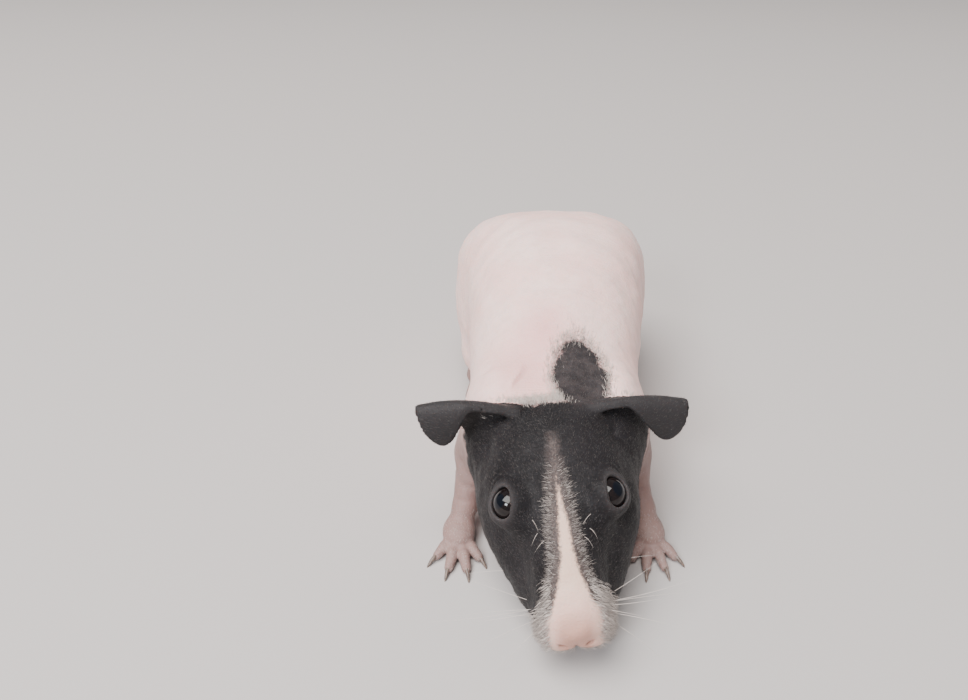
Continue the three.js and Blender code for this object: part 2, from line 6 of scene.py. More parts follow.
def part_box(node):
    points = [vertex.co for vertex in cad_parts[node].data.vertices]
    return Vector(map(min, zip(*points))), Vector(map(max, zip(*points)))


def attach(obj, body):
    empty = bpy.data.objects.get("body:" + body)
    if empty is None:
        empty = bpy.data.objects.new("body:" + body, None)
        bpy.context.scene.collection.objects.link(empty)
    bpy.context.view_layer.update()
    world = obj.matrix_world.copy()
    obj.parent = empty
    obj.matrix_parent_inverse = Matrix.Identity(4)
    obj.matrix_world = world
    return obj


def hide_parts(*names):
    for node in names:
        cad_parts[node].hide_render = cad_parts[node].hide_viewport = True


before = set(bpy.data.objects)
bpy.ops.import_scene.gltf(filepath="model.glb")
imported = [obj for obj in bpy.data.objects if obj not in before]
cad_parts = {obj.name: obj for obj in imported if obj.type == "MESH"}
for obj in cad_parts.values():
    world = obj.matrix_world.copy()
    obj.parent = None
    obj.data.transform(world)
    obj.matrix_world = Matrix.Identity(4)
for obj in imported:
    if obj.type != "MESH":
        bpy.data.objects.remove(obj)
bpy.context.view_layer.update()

# The flesh under the skin: a trunk lofted through rounded sections, a head lofted in a frame of its own, and
# limbs of tapered bones and balls of muscle, all melted into each other. It carries the whole animal. Sizes
# are in millimetres, and each function gives about the distance to a surface, below zero inside.
MM = 0.001
TRUNK = {
    "along": (-76, -54, -34, -8, 22, 50, 76, 104),
    "across": (-7, -5.5, -4.5, -2.5, 0, 1, 1, 0),
    "half": (20, 27, 31.5, 35, 38.5, 42.5, 44, 41),
    "top": (54, 63, 71, 84, 94, 94, 86, 68),
    "bottom": (20, 14, 13, 13, 13, 13, 15, 22),
    "square": (2, 2.1, 2.15, 2.2, 2.4, 2.8, 3, 2.8),
    "caps": (-70, 16, 76, 43),
}
SKULL = {
    "along": (0, 7, 14, 22, 32, 44, 56, 68, 80),
    "across": (0,) * 9,
    "half": (9, 10.6, 11.8, 13.4, 16.6, 20.8, 24, 24, 21),
    "top": (7.5, 12, 15.4, 18.4, 21.2, 23.6, 25, 25, 22),
    "bottom": (-9, -12.5, -15.5, -18, -20.5, -22.5, -23.5, -22.5, -19),
    "square": (2.3, 2.3, 2.2, 2.1, 2.1, 2.1, 2.1, 2.1, 2),
    "caps": (5.5, 5.5, 68, 16),
}
NOSE_TIP = np.array((-3.0, -118.0, 19.5))
PITCH, ROLL, YAW = np.radians((18, -8, 3))
# A lump is its middle, its radii and how widely it melts in. A bone is its two ends, its radius at each end
# and how widely it melts in.
FACE_LUMPS = (
    ((5.7, 7.5, -3.6), (6.9, 8, 6.7), 5),
    ((15, 48, -4), (12.5, 22, 15), 8),
    ((10.5, 29, -9), (8.5, 15, 10), 8),
    ((13.5, 43, 16), (6.5, 11, 5.5), 7),
)
CUP = ((22, 66, 13), (7.5, 8, 10), 5)
MIDDLE_LUMPS = (((0, 4.4, 3.6), (7.4, 5.2, 5.4), 4), ((0, 13, -13), (7, 9, 4.5), 4))
HEAD_MELT = 13
SHOULDER, ELBOW, WRIST, PALM = (22, -40, 45), (30, -36, 28), (35, -50, 11), (37, -56.5, 5)
HIP, KNEE, HEEL, FOOT_BALL = (25, 72, 38), (32, 46, 22), (31, 88, 7), (34.5, 56, 4.5)
FORE = {
    "middle": -4.5,
    "muscle": (SHOULDER, (11, 17, 22), 12),
    "bones": ((SHOULDER, ELBOW, 11, 8, 8), (ELBOW, WRIST, 7.4, 4.5, 6), (WRIST, PALM, 4.4, 4.4, 3)),
    "pad": (PALM, (6.2, 7.6, 4.8), 3),
    "toe_spread": (-36, -11, 13, 40),
    "toe_length": (8.5, 12, 11.5, 8.5),
    "toe_radius": 2.1,
    "toe_root": 4.6,
    "toe_melt": 1.2,
    "claw": 5.4,
}
HIND = {
    "middle": 1,
    "muscle": (HIP, (18, 36, 36), 14),
    "bones": ((KNEE, HEEL, 10, 6.5, 10), (HEEL, FOOT_BALL, 5.6, 5, 5)),
    "pad": (FOOT_BALL, (7, 9, 4.8), 3),
    "toe_spread": (-16, 2, 19),
    "toe_length": (12, 15, 12.5),
    "toe_radius": 2.5,
    "toe_root": 5,
    "toe_melt": 1.4,
    "claw": 7,
}
# Heights of a toe's root, knuckle and tip, and its radius there, both in shares of the toe's radius.
TOE_HEIGHT, TOE_TAPER = (1.3, 1.5, 0.85), (1.1, 1.05, 0.8)
CLAW_TIP_HEIGHT = 0.5


def curve_through(places, sizes, at):
    """A smooth curve through a row of sizes: cubics, each sloped as its neighbours on both sides are."""
    places, sizes = np.array(places, float), np.array(sizes, float)
    last = len(places) - 1
    before = np.maximum(np.arange(last + 1) - 1, 0)
    after = np.minimum(np.arange(last + 1) + 1, last)
    slopes = (sizes[after] - sizes[before]) / (places[after] - places[before])
    at = np.clip(at, places[0], places[-1])
    i = np.clip(np.searchsorted(places, at) - 1, 0, last - 1)
    h = places[i + 1] - places[i]
    t = (at - places[i]) / h
    rising = sizes[i] * (1 + 2 * t) * (1 - t) ** 2 + slopes[i] * h * t * (1 - t) ** 2
    return rising + sizes[i + 1] * t * t * (3 - 2 * t) + slopes[i + 1] * h * t * t * (t - 1)


def smooth_step(value, low, high):
    """0 below low and 1 above high, with a soft cubic between."""
    t = np.clip((value - low) / (high - low), 0, 1)
    return t * t * (3 - 2 * t)


def lofted(x, y, z, part):
    """A superellipse at each y, its half width, top and bottom from the part's rows, with round caps."""
    across, half, top, bottom, square = (
        curve_through(part["along"], part[row], y) for row in ("across", "half", "top", "bottom", "square")
    )
    b = (top - bottom) / 2
    side = (np.abs(x - across) / half) ** square
    section = (side + (np.abs(z - (top + bottom) / 2) / b) ** square) ** (1 / square)
    front_start, front_length, back_start, back_length = part["caps"]
    front = np.maximum(0, (front_start - y) / front_length)
    back = np.maximum(0, (y - back_start) / back_length)
    return (np.sqrt(section**2 + front**2 + back**2) - 1) * np.minimum(half, b)


def ball(x, y, z, centre, radii):
    """An ellipsoid: the scaled distance from its centre, over how fast that grows."""
    p = [(v - c) / r for v, c, r in zip((x, y, z), centre, radii)]
    near = np.sqrt(p[0] ** 2 + p[1] ** 2 + p[2] ** 2)
    steep = np.sqrt(sum((v / r) ** 2 for v, r in zip(p, radii)))
    return near * (near - 1) / np.maximum(steep, 1e-6)


def bone(x, y, z, start, end, start_radius, end_radius):
    """A round limb: the distance from the line between its ends, less a radius that tapers along it."""
    start, end = np.array(start, float), np.array(end, float)
    way = end - start
    q = [v - s for v, s in zip((x, y, z), start)]
    t = np.clip(sum(a * w for a, w in zip(q, way)) / (way @ way), 0, 1)
    off = np.sqrt(sum((a - t * w) ** 2 for a, w in zip(q, way)))
    return off - (start_radius + (end_radius - start_radius) * t)


def melt(a, b, k):
    """The lower of two distances, rounded where they are within k of each other."""
    h = np.maximum(k - np.abs(a - b), 0) / k
    return np.minimum(a, b) - h * h * k / 4


def carve(a, b, k):
    """a with b cut out of it, the edge rounded over k."""
    return -melt(-a, b, k)


def turn_matrix():
    """Yaw about the upright after pitch about the crosswise axis after roll about the head's own length."""
    (cp, cr, cy), (sp, sr, sy) = np.cos((PITCH, ROLL, YAW)), np.sin((PITCH, ROLL, YAW))
    pitch = np.array(((1, 0, 0), (0, cp, -sp), (0, sp, cp)))
    roll = np.array(((cr, 0, sr), (0, 1, 0), (-sr, 0, cr)))
    yaw = np.array(((cy, -sy, 0), (sy, cy, 0), (0, 0, 1)))
    return yaw @ pitch @ roll


TURN = turn_matrix()


def to_head(x, y, z):
    """The point in the head's own frame: x to its left, y back from the nose tip, z up."""
    q = (x - NOSE_TIP[0], y - NOSE_TIP[1], z - NOSE_TIP[2])
    return tuple(sum(TURN[j, i] * q[j] for j in range(3)) for i in range(3))


def from_head(points):
    """Points of the head's frame, in the animal's."""
    return points @ TURN.T + NOSE_TIP


def with_lump(x, y, z, d, lump):
    """d with one ellipsoid melted on."""
    centre, radii, k = lump
    return melt(d, ball(x, y, z, centre, radii), k)


def head_flesh(x, y, z):
    """The skull loft with nose, chin, pads, cheeks, jowls and brows melted on, and a cup cut at each ear."""
    d = lofted(x, y, z, SKULL)
    for lump in MIDDLE_LUMPS:
        d = with_lump(x, y, z, d, lump)
    for lump in FACE_LUMPS:
        d = with_lump(np.abs(x), y, z, d, lump)
    centre, radii, k = CUP
    return carve(d, ball(np.abs(x), y, z, centre, radii), k)


def toe_points(limb):
    """Root, knuckle, tip, claw tip and way of each toe of a left foot, spread like a fan from its pad."""
    turn = np.radians(limb["toe_spread"])
    way = np.stack((np.sin(turn), -np.cos(turn), 0 * turn), 1)
    length = np.array(limb["toe_length"])[:, None]
    start = limb["toe_root"]
    flat = np.array(limb["pad"][0]) * (1, 1, 0)
    reach = (start + 0 * length, start + length / 2, start + length)
    root, knuckle, tip = (
        flat + way * r + (0, 0, limb["toe_radius"] * height) for r, height in zip(reach, TOE_HEIGHT)
    )
    claw_tip = flat + way * (reach[2] + limb["claw"]) + (0, 0, CLAW_TIP_HEIGHT)
    return root, knuckle, tip, claw_tip, way


def with_limb(x, y, z, d, limb):
    """d with a limb's bones, the pad of its foot and its toes melted on: two bones to a toe."""
    for start, end, start_radius, end_radius, k in limb["bones"]:
        d = melt(d, bone(x, y, z, start, end, start_radius, end_radius), k)
    d = with_lump(x, y, z, d, limb["pad"])
    at_root, at_knuckle, at_tip = (limb["toe_radius"] * share for share in TOE_TAPER)
    for root, knuckle, tip, *_ in zip(*toe_points(limb)):
        upper = bone(x, y, z, root, knuckle, at_root, at_knuckle)
        lower = bone(x, y, z, knuckle, tip, at_knuckle, at_tip)
        d = melt(d, np.minimum(upper, lower), limb["toe_melt"])
    return d


def flesh(x, y, z):
    """The trunk, the head, then on each side the muscles of shoulder and haunch and both limbs."""
    d = melt(lofted(x, y, z, TRUNK), head_flesh(*to_head(x, y, z)), HEAD_MELT)
    for side in (1, -1):
        fore, hind = ((x - limb["middle"]) * side for limb in (FORE, HIND))
        d = with_lump(fore, y, z, d, FORE["muscle"])
        d = with_lump(hind, y, z, d, HIND["muscle"])
        d = np.where(y < 0, with_limb(fore, y, z, d, FORE), with_limb(hind, y, z, d, HIND))
    return d


# Ears: a soft petal of skin each, folded over a ridge that runs out sideways. A wall hangs behind the ridge
# and the petal's outer part in front of it. Each is sampled closely, so that the skin's field lies round it.
EAR_ROOT = (11, 71, 20.5)
EAR_LENGTH = {1: 37.5, -1: 33.5}
EAR_LIFT = {1: (2, -3), -1: (5, 11)}
EAR_ARCH, EAR_SWEEP, EAR_ROUND = 3, 2, 0.66
EAR_THICK, EAR_RIM, EAR_MELT = 1.9, 1.15, 3.5
EAR_FRONT = {"root": 1, "tip": 16.5, "from": 0.42, "to": 0.85, "bend": 82}
EAR_BACK = {"root": 25, "tip": 6, "from": 0.36, "to": 0.92, "bend": 100}
EAR_EASE, EAR_BLUNT = 5, 0.02
EAR_SAMPLES = (72, 90)


def flap_length(along, flap):
    """How far a flap of the ear reaches from the ridge: from its root length to its tip length, eased."""
    return flap["root"] + (flap["tip"] - flap["root"]) * smooth_step(along, flap["from"], flap["to"])


def ear_sheet(along, across, side):
    """A point of the folded petal: out along the ridge, then falling away from it, ever steeper."""
    tip = np.maximum(0, (along - EAR_ROUND) / (1 - EAR_ROUND))
    rounding = np.sqrt(np.maximum(1 - tip * tip, EAR_BLUNT))
    front = across > 0
    length = np.where(front, flap_length(along, EAR_FRONT), flap_length(along, EAR_BACK))
    reach = np.abs(across) * length * rounding
    bend = np.where(front, EAR_FRONT["bend"], EAR_BACK["bend"])
    fall = np.radians(bend) * reach / (reach + EAR_EASE)
    start, end = EAR_LIFT[side]
    x = (EAR_ROOT[0] + EAR_LENGTH[side] * along) * side
    y = EAR_ROOT[1] + EAR_SWEEP * along - np.sign(across) * reach * np.cos(fall)
    z = EAR_ROOT[2] + start + (end - start) * along + EAR_ARCH * np.sin(along * np.pi)
    z = z - reach * np.sin(fall)
    return np.stack((x, y, z), -1)


def ear_samples(side):
    """Points all over one ear in the animal's frame, with the sheet's normal and half thickness there."""
    rows, columns = EAR_SAMPLES
    along, across = np.meshgrid(np.linspace(0, 1, rows), np.linspace(-1, 1, columns), indexing="ij")
    points = from_head(ear_sheet(along, across, side))
    h = 1e-3
    inner, outer = np.clip(along, h, 1 - h), np.clip(across, h - 1, 1 - h)
    outward = ear_sheet(inner + h, outer, side) - ear_sheet(inner - h, outer, side)
    forward = ear_sheet(inner, outer + h, side) - ear_sheet(inner, outer - h, side)
    normal = np.cross(outward, forward)
    normal = normal / np.linalg.norm(normal, axis=-1, keepdims=True) @ TURN.T
    edge = np.maximum(np.abs(across), 2 * along - 1)
    half = (EAR_THICK + (EAR_RIM - EAR_THICK) * smooth_step(edge, 0.5, 1)) / 2
    return points.reshape(-1, 3), normal.reshape(-1, 3), half.ravel()


EARS = {side: ear_samples(side) for side in (1, -1)}
EAR_REACH = 5
SHEET_STEP = 0.45
FAR = 100.0
AT_ONCE = 3000


def ear_flesh(p, side):
    """The distance to the nearest sample's plane, or past the edge to the edge, less half the thickness."""
    points, normals, halves = EARS[side]
    d = np.full(len(p), FAR)
    near = np.all((p > points.min(0) - EAR_REACH) & (p < points.max(0) + EAR_REACH), axis=1)
    which = np.flatnonzero(near)
    centre = points.mean(0)
    samples = (points - centre).astype(np.float32)
    size = (samples**2).sum(1)
    for chunk in np.array_split(which, max(1, len(which) // AT_ONCE)):
        q = p[chunk]
        nearest = (size - 2 * (q - centre).astype(np.float32) @ samples.T).argmin(1)
        r = q - points[nearest]
        off = (r * normals[nearest]).sum(1)
        past = np.sqrt(np.maximum((r * r).sum(1) - off**2, 0))
        d[chunk] = np.sqrt(off**2 + np.maximum(past - SHEET_STEP, 0) ** 2) - halves[nearest]
    return d


# Face: the sockets and lids of the eyes, the nostrils, the line of the mouth and the cleft of the upper lip.
# All are raised on the flesh or cut into it, in the head's frame.
EYE_FROM, EYE_OUTWARD = (4, 42.5, 3), (0.64, -0.12, 0.76)
EYE_SUNK, EYE_RADIUS = 3.9, 6
LID_OPENING = (5.6, 4.4)
LID_THICK, LID_SPREAD, LID_EDGE, LID_MELT = 1.15, 0.3, 0.7, 1.6
LID_FOLDS = {"deep": 0.34, "apart": 1.9, "first": 0.6}
SOCKET_GAP, SOCKET_EDGE = 0.1, 0.25
NOSTRIL = {"centre": (4.3, -0.7, -0.7), "radii": (1.1, 2.4, 1.7), "tilt": 38, "edge": 0.6}
MOUTH = {"height": -9.6, "back": 17, "drop": 2.6, "open": 0.7, "deep": 1.8, "corner": 88, "edge": 0.9}
CLEFT = {"half": 0.35, "top": -0.5, "back": 8, "deep": 1.2}


def eye_middle(side):
    """Where the line out from inside the head leaves the flesh, drawn back by the depth the eye is sunk."""
    out = np.array(EYE_OUTWARD) * (side, 1, 1)
    out /= np.linalg.norm(out)
    steps = np.arange(0, 40, 0.1)
    line = np.array(EYE_FROM) * (side, 1, 1) + steps[:, None] * out
    outside = flesh(*from_head(line).T) >= 0
    return line[np.argmax(outside)] - out * EYE_SUNK, out


EYES = {side: eye_middle(side) for side in (1, -1)}


def eye_axes(side):
    """The eye's own directions: along its slit, across it and outward."""
    out = EYES[side][1]
    slit = np.array((0, 1, 0)) - out[1] * out
    slit /= np.linalg.norm(slit)
    return slit, np.cross(out, slit), out


def eye_frame(x, y, z, side):
    """The place seen from an eye, along its three directions."""
    q = [v - c for v, c in zip((x, y, z), EYES[side][0])]
    return tuple(sum(a * w for a, w in zip(q, way)) for way in eye_axes(side))


def past_opening(u, v):
    """How far a place in front of an eye lies outside the oval opening between its lids."""
    long, tall = LID_OPENING
    return (np.sqrt((u / long) ** 2 + (v / tall) ** 2) - 1) * tall


def with_lids(x, y, z, d):
    """d with a rim of skin raised round each eye's opening, folds beside it, and the socket carved out."""
    for side in (1, -1):
        u, v, w = eye_frame(x, y, z, side)
        away = np.sqrt(u * u + v * v + w * w)
        rim = past_opening(u, v)
        shell = np.maximum(away - EYE_RADIUS - LID_THICK - LID_SPREAD * np.clip(rim, 0, 4), -w)
        fold = 0.5 + 0.5 * np.cos((rim - LID_FOLDS["first"]) * 2 * np.pi / LID_FOLDS["apart"])
        starting, fading = smooth_step(rim, 0.8, 1.6), 1 - smooth_step(rim, 3.5, 7)
        d = d + LID_FOLDS["deep"] * fold * starting * fading * smooth_step(w, 0, 3)
        d = melt(d, carve(shell, rim, LID_EDGE), LID_MELT)
        d = carve(d, away - EYE_RADIUS - SOCKET_GAP, SOCKET_EDGE)
    return d


def with_nose(x, y, z, d):
    """d with nostrils, mouth line and lip cleft cut in, the last two to a small depth below the skin."""
    tilt = np.radians(NOSTRIL["tilt"])
    cx, cy, cz = NOSTRIL["centre"]
    u, w = np.abs(x) - cx, z - cz
    u, w = u * np.cos(tilt) - w * np.sin(tilt), u * np.sin(tilt) + w * np.cos(tilt)
    d = carve(d, ball(u, y - cy, w, (0, 0, 0), NOSTRIL["radii"]), NOSTRIL["edge"])
    angle = np.arctan2(np.abs(x), MOUTH["back"] - y)
    line = MOUTH["height"] - MOUTH["drop"] * np.sin(angle) ** 2
    inside = -(d + MOUTH["deep"])
    blade = np.maximum(np.abs(z - line) - MOUTH["open"] / 2, angle - np.radians(MOUTH["corner"]))
    cleft = np.maximum(np.abs(x) - CLEFT["half"], np.maximum(z - CLEFT["top"], MOUTH["height"] - z))
    cleft = np.maximum(cleft, y - CLEFT["back"])
    d = carve(d, np.maximum(blade, inside), MOUTH["edge"])
    return carve(d, np.maximum(cleft, -(d + CLEFT["deep"])), MOUTH["edge"])


# Folds of the loose skin: the start, middle and end of each crease of the animal's right side, its width and
# its depth. Its left side has the same ones, apart from the raised fold, whose depth is below zero.
CREASES = (
    ((-24, -62, 30), (-33, -50, 44), (-25, -44, 62), 1.6, 0.8),
    ((-27, -60, 24), (-37, -44, 40), (-30, -34, 66), 1.8, 0.7),
    ((-22, -59, 16), (-34, -54, 20), (-40, -44, 30), 1.4, 0.8),
    ((-30, -24, 14), (-40, -22, 30), (-37, -22, 52), 2.2, 1.0),
    ((-28, -16, 15), (-41, -12, 34), (-38, -10, 58), 2.4, 0.7),
    ((-24, -30, 12), (-36, -34, 16), (-42, -40, 24), 1.5, 0.9),
    ((-31, -52, 14), (-36, -55, 17), (-43, -50, 16), 1.0, 0.7),
    ((-33, -47, 20), (-40, -49, 22), (-44, -42, 23), 1.2, 0.6),
    ((-26, 28, 14), (-44, 30, 24), (-42, 36, 46), 2.4, 1.0),
    ((-30, 22, 16), (-45, 20, 32), (-42, 24, 56), 2.8, 0.6),
    ((-34, 42, 12), (-46, 46, 26), (-47, 56, 46), 2.2, 0.8),
    ((-28, 84, 14), (-44, 92, 18), (-40, 104, 26), 2.0, 0.8),
    ((-33, 60, 12), (-42, 64, 12), (-42, 76, 13), 1.4, 0.7),
    ((-28, -58, 68), (-24, -50, 68), (-18, -38, 69), 1.3, -0.9),
    ((-12, -106, 9), (-16, -92, 9), (-22, -80, 14), 1.8, 0.5),
)
FOLD_MIDDLE = -3
BACK_FOLDS = {"deep": 0.3, "apart": 15, "bow": 0.006, "wander": 5}
UNEVEN = ((0.22, 17, 1), (0.1, 6, 2))
RIPPLE_WAVES = 7
FOLDS_WITHIN = 4
FACE_BEFORE = -40


def bent_line(start, middle, end, count=9):
    """Points along a quadratic curve that passes through the middle point half way."""
    t = np.linspace(0, 1, count)[:, None]
    start, middle, end = (np.array(p, float) for p in (start, middle, end))
    return start * (1 - t) * (1 - 2 * t) + middle * 4 * t * (1 - t) + end * t * (2 * t - 1)


def ripple(x, y, z, length, seed):
    """A smooth unevenness between about -1 and 1: waves of one length in a few random directions, summed."""
    rng = np.random.default_rng(seed)
    ways = rng.normal(size=(RIPPLE_WAVES, 3))
    number = 2 * np.pi / length / np.linalg.norm(ways, axis=1, keepdims=True)
    ways *= number * rng.uniform(0.7, 1.3, (RIPPLE_WAVES, 1))
    phases = rng.uniform(0, 2 * np.pi, RIPPLE_WAVES)
    waves = sum(np.sin(w[0] * x + w[1] * y + w[2] * z + p) for w, p in zip(ways, phases))
    return waves / (RIPPLE_WAVES / 2)


def fold_depth(x, y, z):
    """How deep the skin lies below the smooth flesh: creases by their distance, cross folds of the back as
    waves along the spine, and a slight unevenness."""
    depth = sum(deep * ripple(x, y, z, length, seed) for deep, length, seed in UNEVEN)
    back = smooth_step(y, -40, 0) * (1 - smooth_step(y, 95, 115)) * smooth_step(z, 40, 70)
    bowed = y + BACK_FOLDS["bow"] * (x + 1) ** 2 + BACK_FOLDS["wander"] * ripple(x, y, z, 60, 3)
    waves = np.cos(2 * np.pi * bowed / BACK_FOLDS["apart"])
    depth = depth + back * BACK_FOLDS["deep"] * waves * smooth_step(ripple(x, y, z, 50, 4), -0.6, 0.8)
    for side in (1, -1):
        mirrored = (x - FOLD_MIDDLE) * side + FOLD_MIDDLE
        for start, middle, end, width, deep in CREASES:
            if deep < 0 and side < 0:
                continue
            line = bent_line(start, middle, end)
            low, high = line.min(0) - 3 * width, line.max(0) + 3 * width
            near = np.flatnonzero(
                (mirrored > low[0]) & (mirrored < high[0]) & (y > low[1]) & (y < high[1])
                & (z > low[2]) & (z < high[2])
            )
            p = (mirrored[near], y[near], z[near])
            away = np.full(len(near), FAR)
            for a, b in zip(line, line[1:]):
                away = np.minimum(away, bone(*p, a, b, 0, 0))
            depth[near] += deep * np.exp(-((away / width) ** 2))
    return depth


def skin_field(points):
    """The whole animal's skin: flesh, ears and face, with a light groove where the skin folds."""
    x, y, z = points.T
    d = flesh(x, y, z)
    near = np.abs(d) < FOLDS_WITHIN
    d[near] += fold_depth(x[near], y[near], z[near])
    front = y < FACE_BEFORE
    face = points[front]
    hx, hy, hz = to_head(*face.T)
    df = with_lids(hx, hy, hz, d[front])
    df = with_nose(hx, hy, hz, df)
    for side in (1, -1):
        df = melt(df, ear_flesh(face, side), EAR_MELT)
    d[front] = df
    return d


def uneven_places(stops):
    """Grid places whose spacing follows the spacing given at each stop."""
    at, spacing = np.array(stops, float).T
    fine = np.linspace(at[0], at[-1], 4000)
    count = np.cumsum(np.diff(fine) / np.interp((fine[1:] + fine[:-1]) / 2, at, spacing))
    count = np.concatenate(([0], count))
    return np.interp(np.linspace(0, count[-1], int(np.ceil(count[-1])) + 1), count, fine)


def surface_net(field, places):
    """Closed squares round a field: a point in each grid cell that the surface crosses, and a square round
    each grid edge that it crosses. This shape branches, so it isn't one grid of two parameters."""
    xs, ys, zs = places
    values = np.empty((len(xs), len(ys), len(zs)), np.float32)
    for rows in np.array_split(np.arange(len(ys)), len(ys) // 8):
        grid = np.meshgrid(xs, ys[rows], zs, indexing="ij")
        points = np.stack([g.ravel() for g in grid], 1)
        values[:, rows] = field(points).reshape(grid[0].shape)
    inside = values < 0
    corners = [(a, b, c) for a in (0, 1) for b in (0, 1) for c in (0, 1)]
    cells = tuple(n - 1 for n in inside.shape)
    full = sum(
        inside[a : a + cells[0], b : b + cells[1], c : c + cells[2]].astype(np.int8) for a, b, c in corners
    )
    i, j, k = np.nonzero((full > 0) & (full < 8))
    number = np.full(cells, -1, np.int32)
    number[i, j, k] = np.arange(len(i))
    total, crossings = np.zeros((len(i), 3)), np.zeros(len(i))
    for a in corners:
        for axis in range(3):
            if a[axis]:
                continue
            b = tuple(c + (n == axis) for n, c in enumerate(a))
            va = values[i + a[0], j + a[1], k + a[2]]
            vb = values[i + b[0], j + b[1], k + b[2]]
            crossed = (va < 0) != (vb < 0)
            t = np.where(crossed, va / np.where(crossed, va - vb, 1), 0)[:, None]
            pa = np.stack((xs[i + a[0]], ys[j + a[1]], zs[k + a[2]]), 1)
            pb = np.stack((xs[i + b[0]], ys[j + b[1]], zs[k + b[2]]), 1)
            total += np.where(crossed[:, None], pa + (pb - pa) * t, 0)
            crossings += crossed
    points = total / crossings[:, None]
    squares = []
    rings = (
        ((0, 1, 1), (0, 0, 1), (0, 0, 0), (0, 1, 0)),
        ((1, 0, 1), (1, 0, 0), (0, 0, 0), (0, 0, 1)),
        ((1, 1, 0), (0, 1, 0), (0, 0, 0), (1, 0, 0)),
    )
    for axis, ring in enumerate(rings):
        low = [slice(1, -1)] * 3
        high = [slice(1, -1)] * 3
        low[axis], high[axis] = slice(0, -1), slice(1, None)
        first, second = inside[tuple(low)], inside[tuple(high)]
        e = np.array(np.nonzero(first != second)) + 1
        e[axis] -= 1
        square = np.stack([number[e[0] - a, e[1] - b, e[2] - c] for a, b, c in ring], 1)
        flip = ~inside[e[0], e[1], e[2]]
        square[flip] = square[flip][:, ::-1]
        squares.append(square)
    return points, np.concatenate(squares)


def slope_of(field, points, h=0.15):
    """The field's slope at each point, from a short way ahead and behind along each axis."""
    ways = np.eye(3) * h
    return np.stack([(field(points + way) - field(points - way)) / (2 * h) for way in ways], 1)


def drawn_on(field, points, rounds, furthest=0.45):
    """Points moved along the field's slope towards its surface, none further than a short way in all."""
    start = points
    for _ in range(rounds):
        d, slope = field(points), slope_of(field, points)
        step = slope * (d / np.maximum((slope * slope).sum(1), 0.3))[:, None]
        moved = points - step - start
        size = np.linalg.norm(moved, axis=1, keepdims=True)
        points = start + moved * np.minimum(1, furthest / np.maximum(size, 1e-6))
    return points


def relaxed(points, squares, share):
    """Each point moved part of the way to the middle of its neighbours."""
    starts = np.concatenate([squares[:, i] for i in range(4)])
    ends = np.concatenate([squares[:, (i + 1) % 4] for i in range(4)])
    both = np.concatenate((starts, ends)), np.concatenate((ends, starts))
    count = np.bincount(both[0], minlength=len(points))
    middle = np.stack([np.bincount(both[0], points[both[1], i], len(points)) for i in range(3)], 1)
    return points + share * (middle / count[:, None] - points)


GRID = (
    uneven_places(((-62, 0.95), (-30, 0.85), (-20, 0.73), (16, 0.73), (28, 0.85), (60, 1))),
    uneven_places(((-124, 0.62), (-80, 0.66), (-64, 0.74), (-48, 0.8), (-36, 1.8), (126, 2.2))),
    uneven_places(((-3, 0.85), (12, 0.85), (38, 0.74), (66, 0.76), (76, 1.3), (100, 1.5))),
)
skin_points, skin_squares = surface_net(skin_field, GRID)
for _ in range(2):
    skin_points = drawn_on(skin_field, relaxed(skin_points, skin_squares, 0.5), 2)

# The animal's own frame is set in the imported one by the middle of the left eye, which both have.
low, high = (np.array(corner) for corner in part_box("eye_left"))
SHIFT = (low + high) / 2 / MM - from_head(EYES[1][0])
skin_points[:, 2] = np.maximum(skin_points[:, 2], -SHIFT[2])


def mesh_piece(name, points, faces):
    """A smooth object from points in millimetres of the animal's frame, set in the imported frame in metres."""
    mesh = bpy.data.meshes.new(name)
    mesh.from_pydata(((points + SHIFT) * MM).tolist(), [], faces.tolist())
    mesh.polygons.foreach_set("use_smooth", np.ones(len(faces), bool))
    mesh.update()
    piece = bpy.data.objects.new(name, mesh)
    bpy.context.scene.collection.objects.link(piece)
    return piece


skin = mesh_piece("skin", skin_points, skin_squares)
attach(skin, "root")
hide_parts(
    "head", "neck", "torso", "ear_left", "ear_right", "foreleg_left", "foreleg_right", "forepaw_left",
    "forepaw_right", "hindleg_left", "hindleg_right", "hindfoot_left", "hindfoot_right",
)


# Markings: a black head and ears on a pink body, a pink blaze that widens down to the nose, white hairs mixed
# in beside it, and a mottled patch on the nape, with a dusky tint on the legs that is partly painted shade, a
# painted highlight on the lid rims and painted sheen on the ears. Black, blaze and roan are how far inside them
# a point lies in millimetres, and the others are shares from 0 to about 1.
BLAZE_AT = (0, 5, 10.5, 15.5, 21, 30, 39, 46)
BLAZE_LEFT = (8.4, 7.8, 5.4, 3.5, 2.4, 1.7, 0.5, -0.5)
BLAZE_RIGHT = (8.0, 7.2, 4.6, 2.6, 1.6, 1.2, 0.3, -0.5)
ROAN_AT = (0, 5, 10, 17, 22, 31, 39, 47, 58)
ROAN_LEFT = (12, 11.5, 8.6, 6.4, 5.4, 4.2, 3.4, 2.5, 0.8)
ROAN_RIGHT = (12, 11, 8.2, 5.6, 5.0, 4.8, 3.4, 2.2, 0.6)
NAPE_PATCH = ((3.2, -42), (10.4, 16.5))
COLLAR_LOW, COLLAR_RISE = 61, 14
BLAZE_BACK, ROAN_BACK = 50, 62
NOSE_BACK, NOSE_HALF = 6.5, 14
CHIN_BACK, CHIN_HALF = 19, 9.5
ROSY = (((-12, -38), 300, 1), ((-8, -20), 90, 0.8))
LID_GLOW = 1.3
OUTSIDE = 30


def stripe(hx, hy, at, left, right):
    """How far a point of the head lies inside a stripe down its middle with these half widths."""
    inside = np.minimum(np.interp(hy, at, left) - hx, hx + np.interp(hy, at, right))
    return np.minimum(inside, (at[-1] - hy) * 0.4)


def lid_distance(x, y, z, side):
    """How far a point of the head lies from the rim of one eye's opening."""
    u, v, w = eye_frame(x, y, z, side)
    return np.abs(past_opening(u, v)) + 3 * (w < 0)


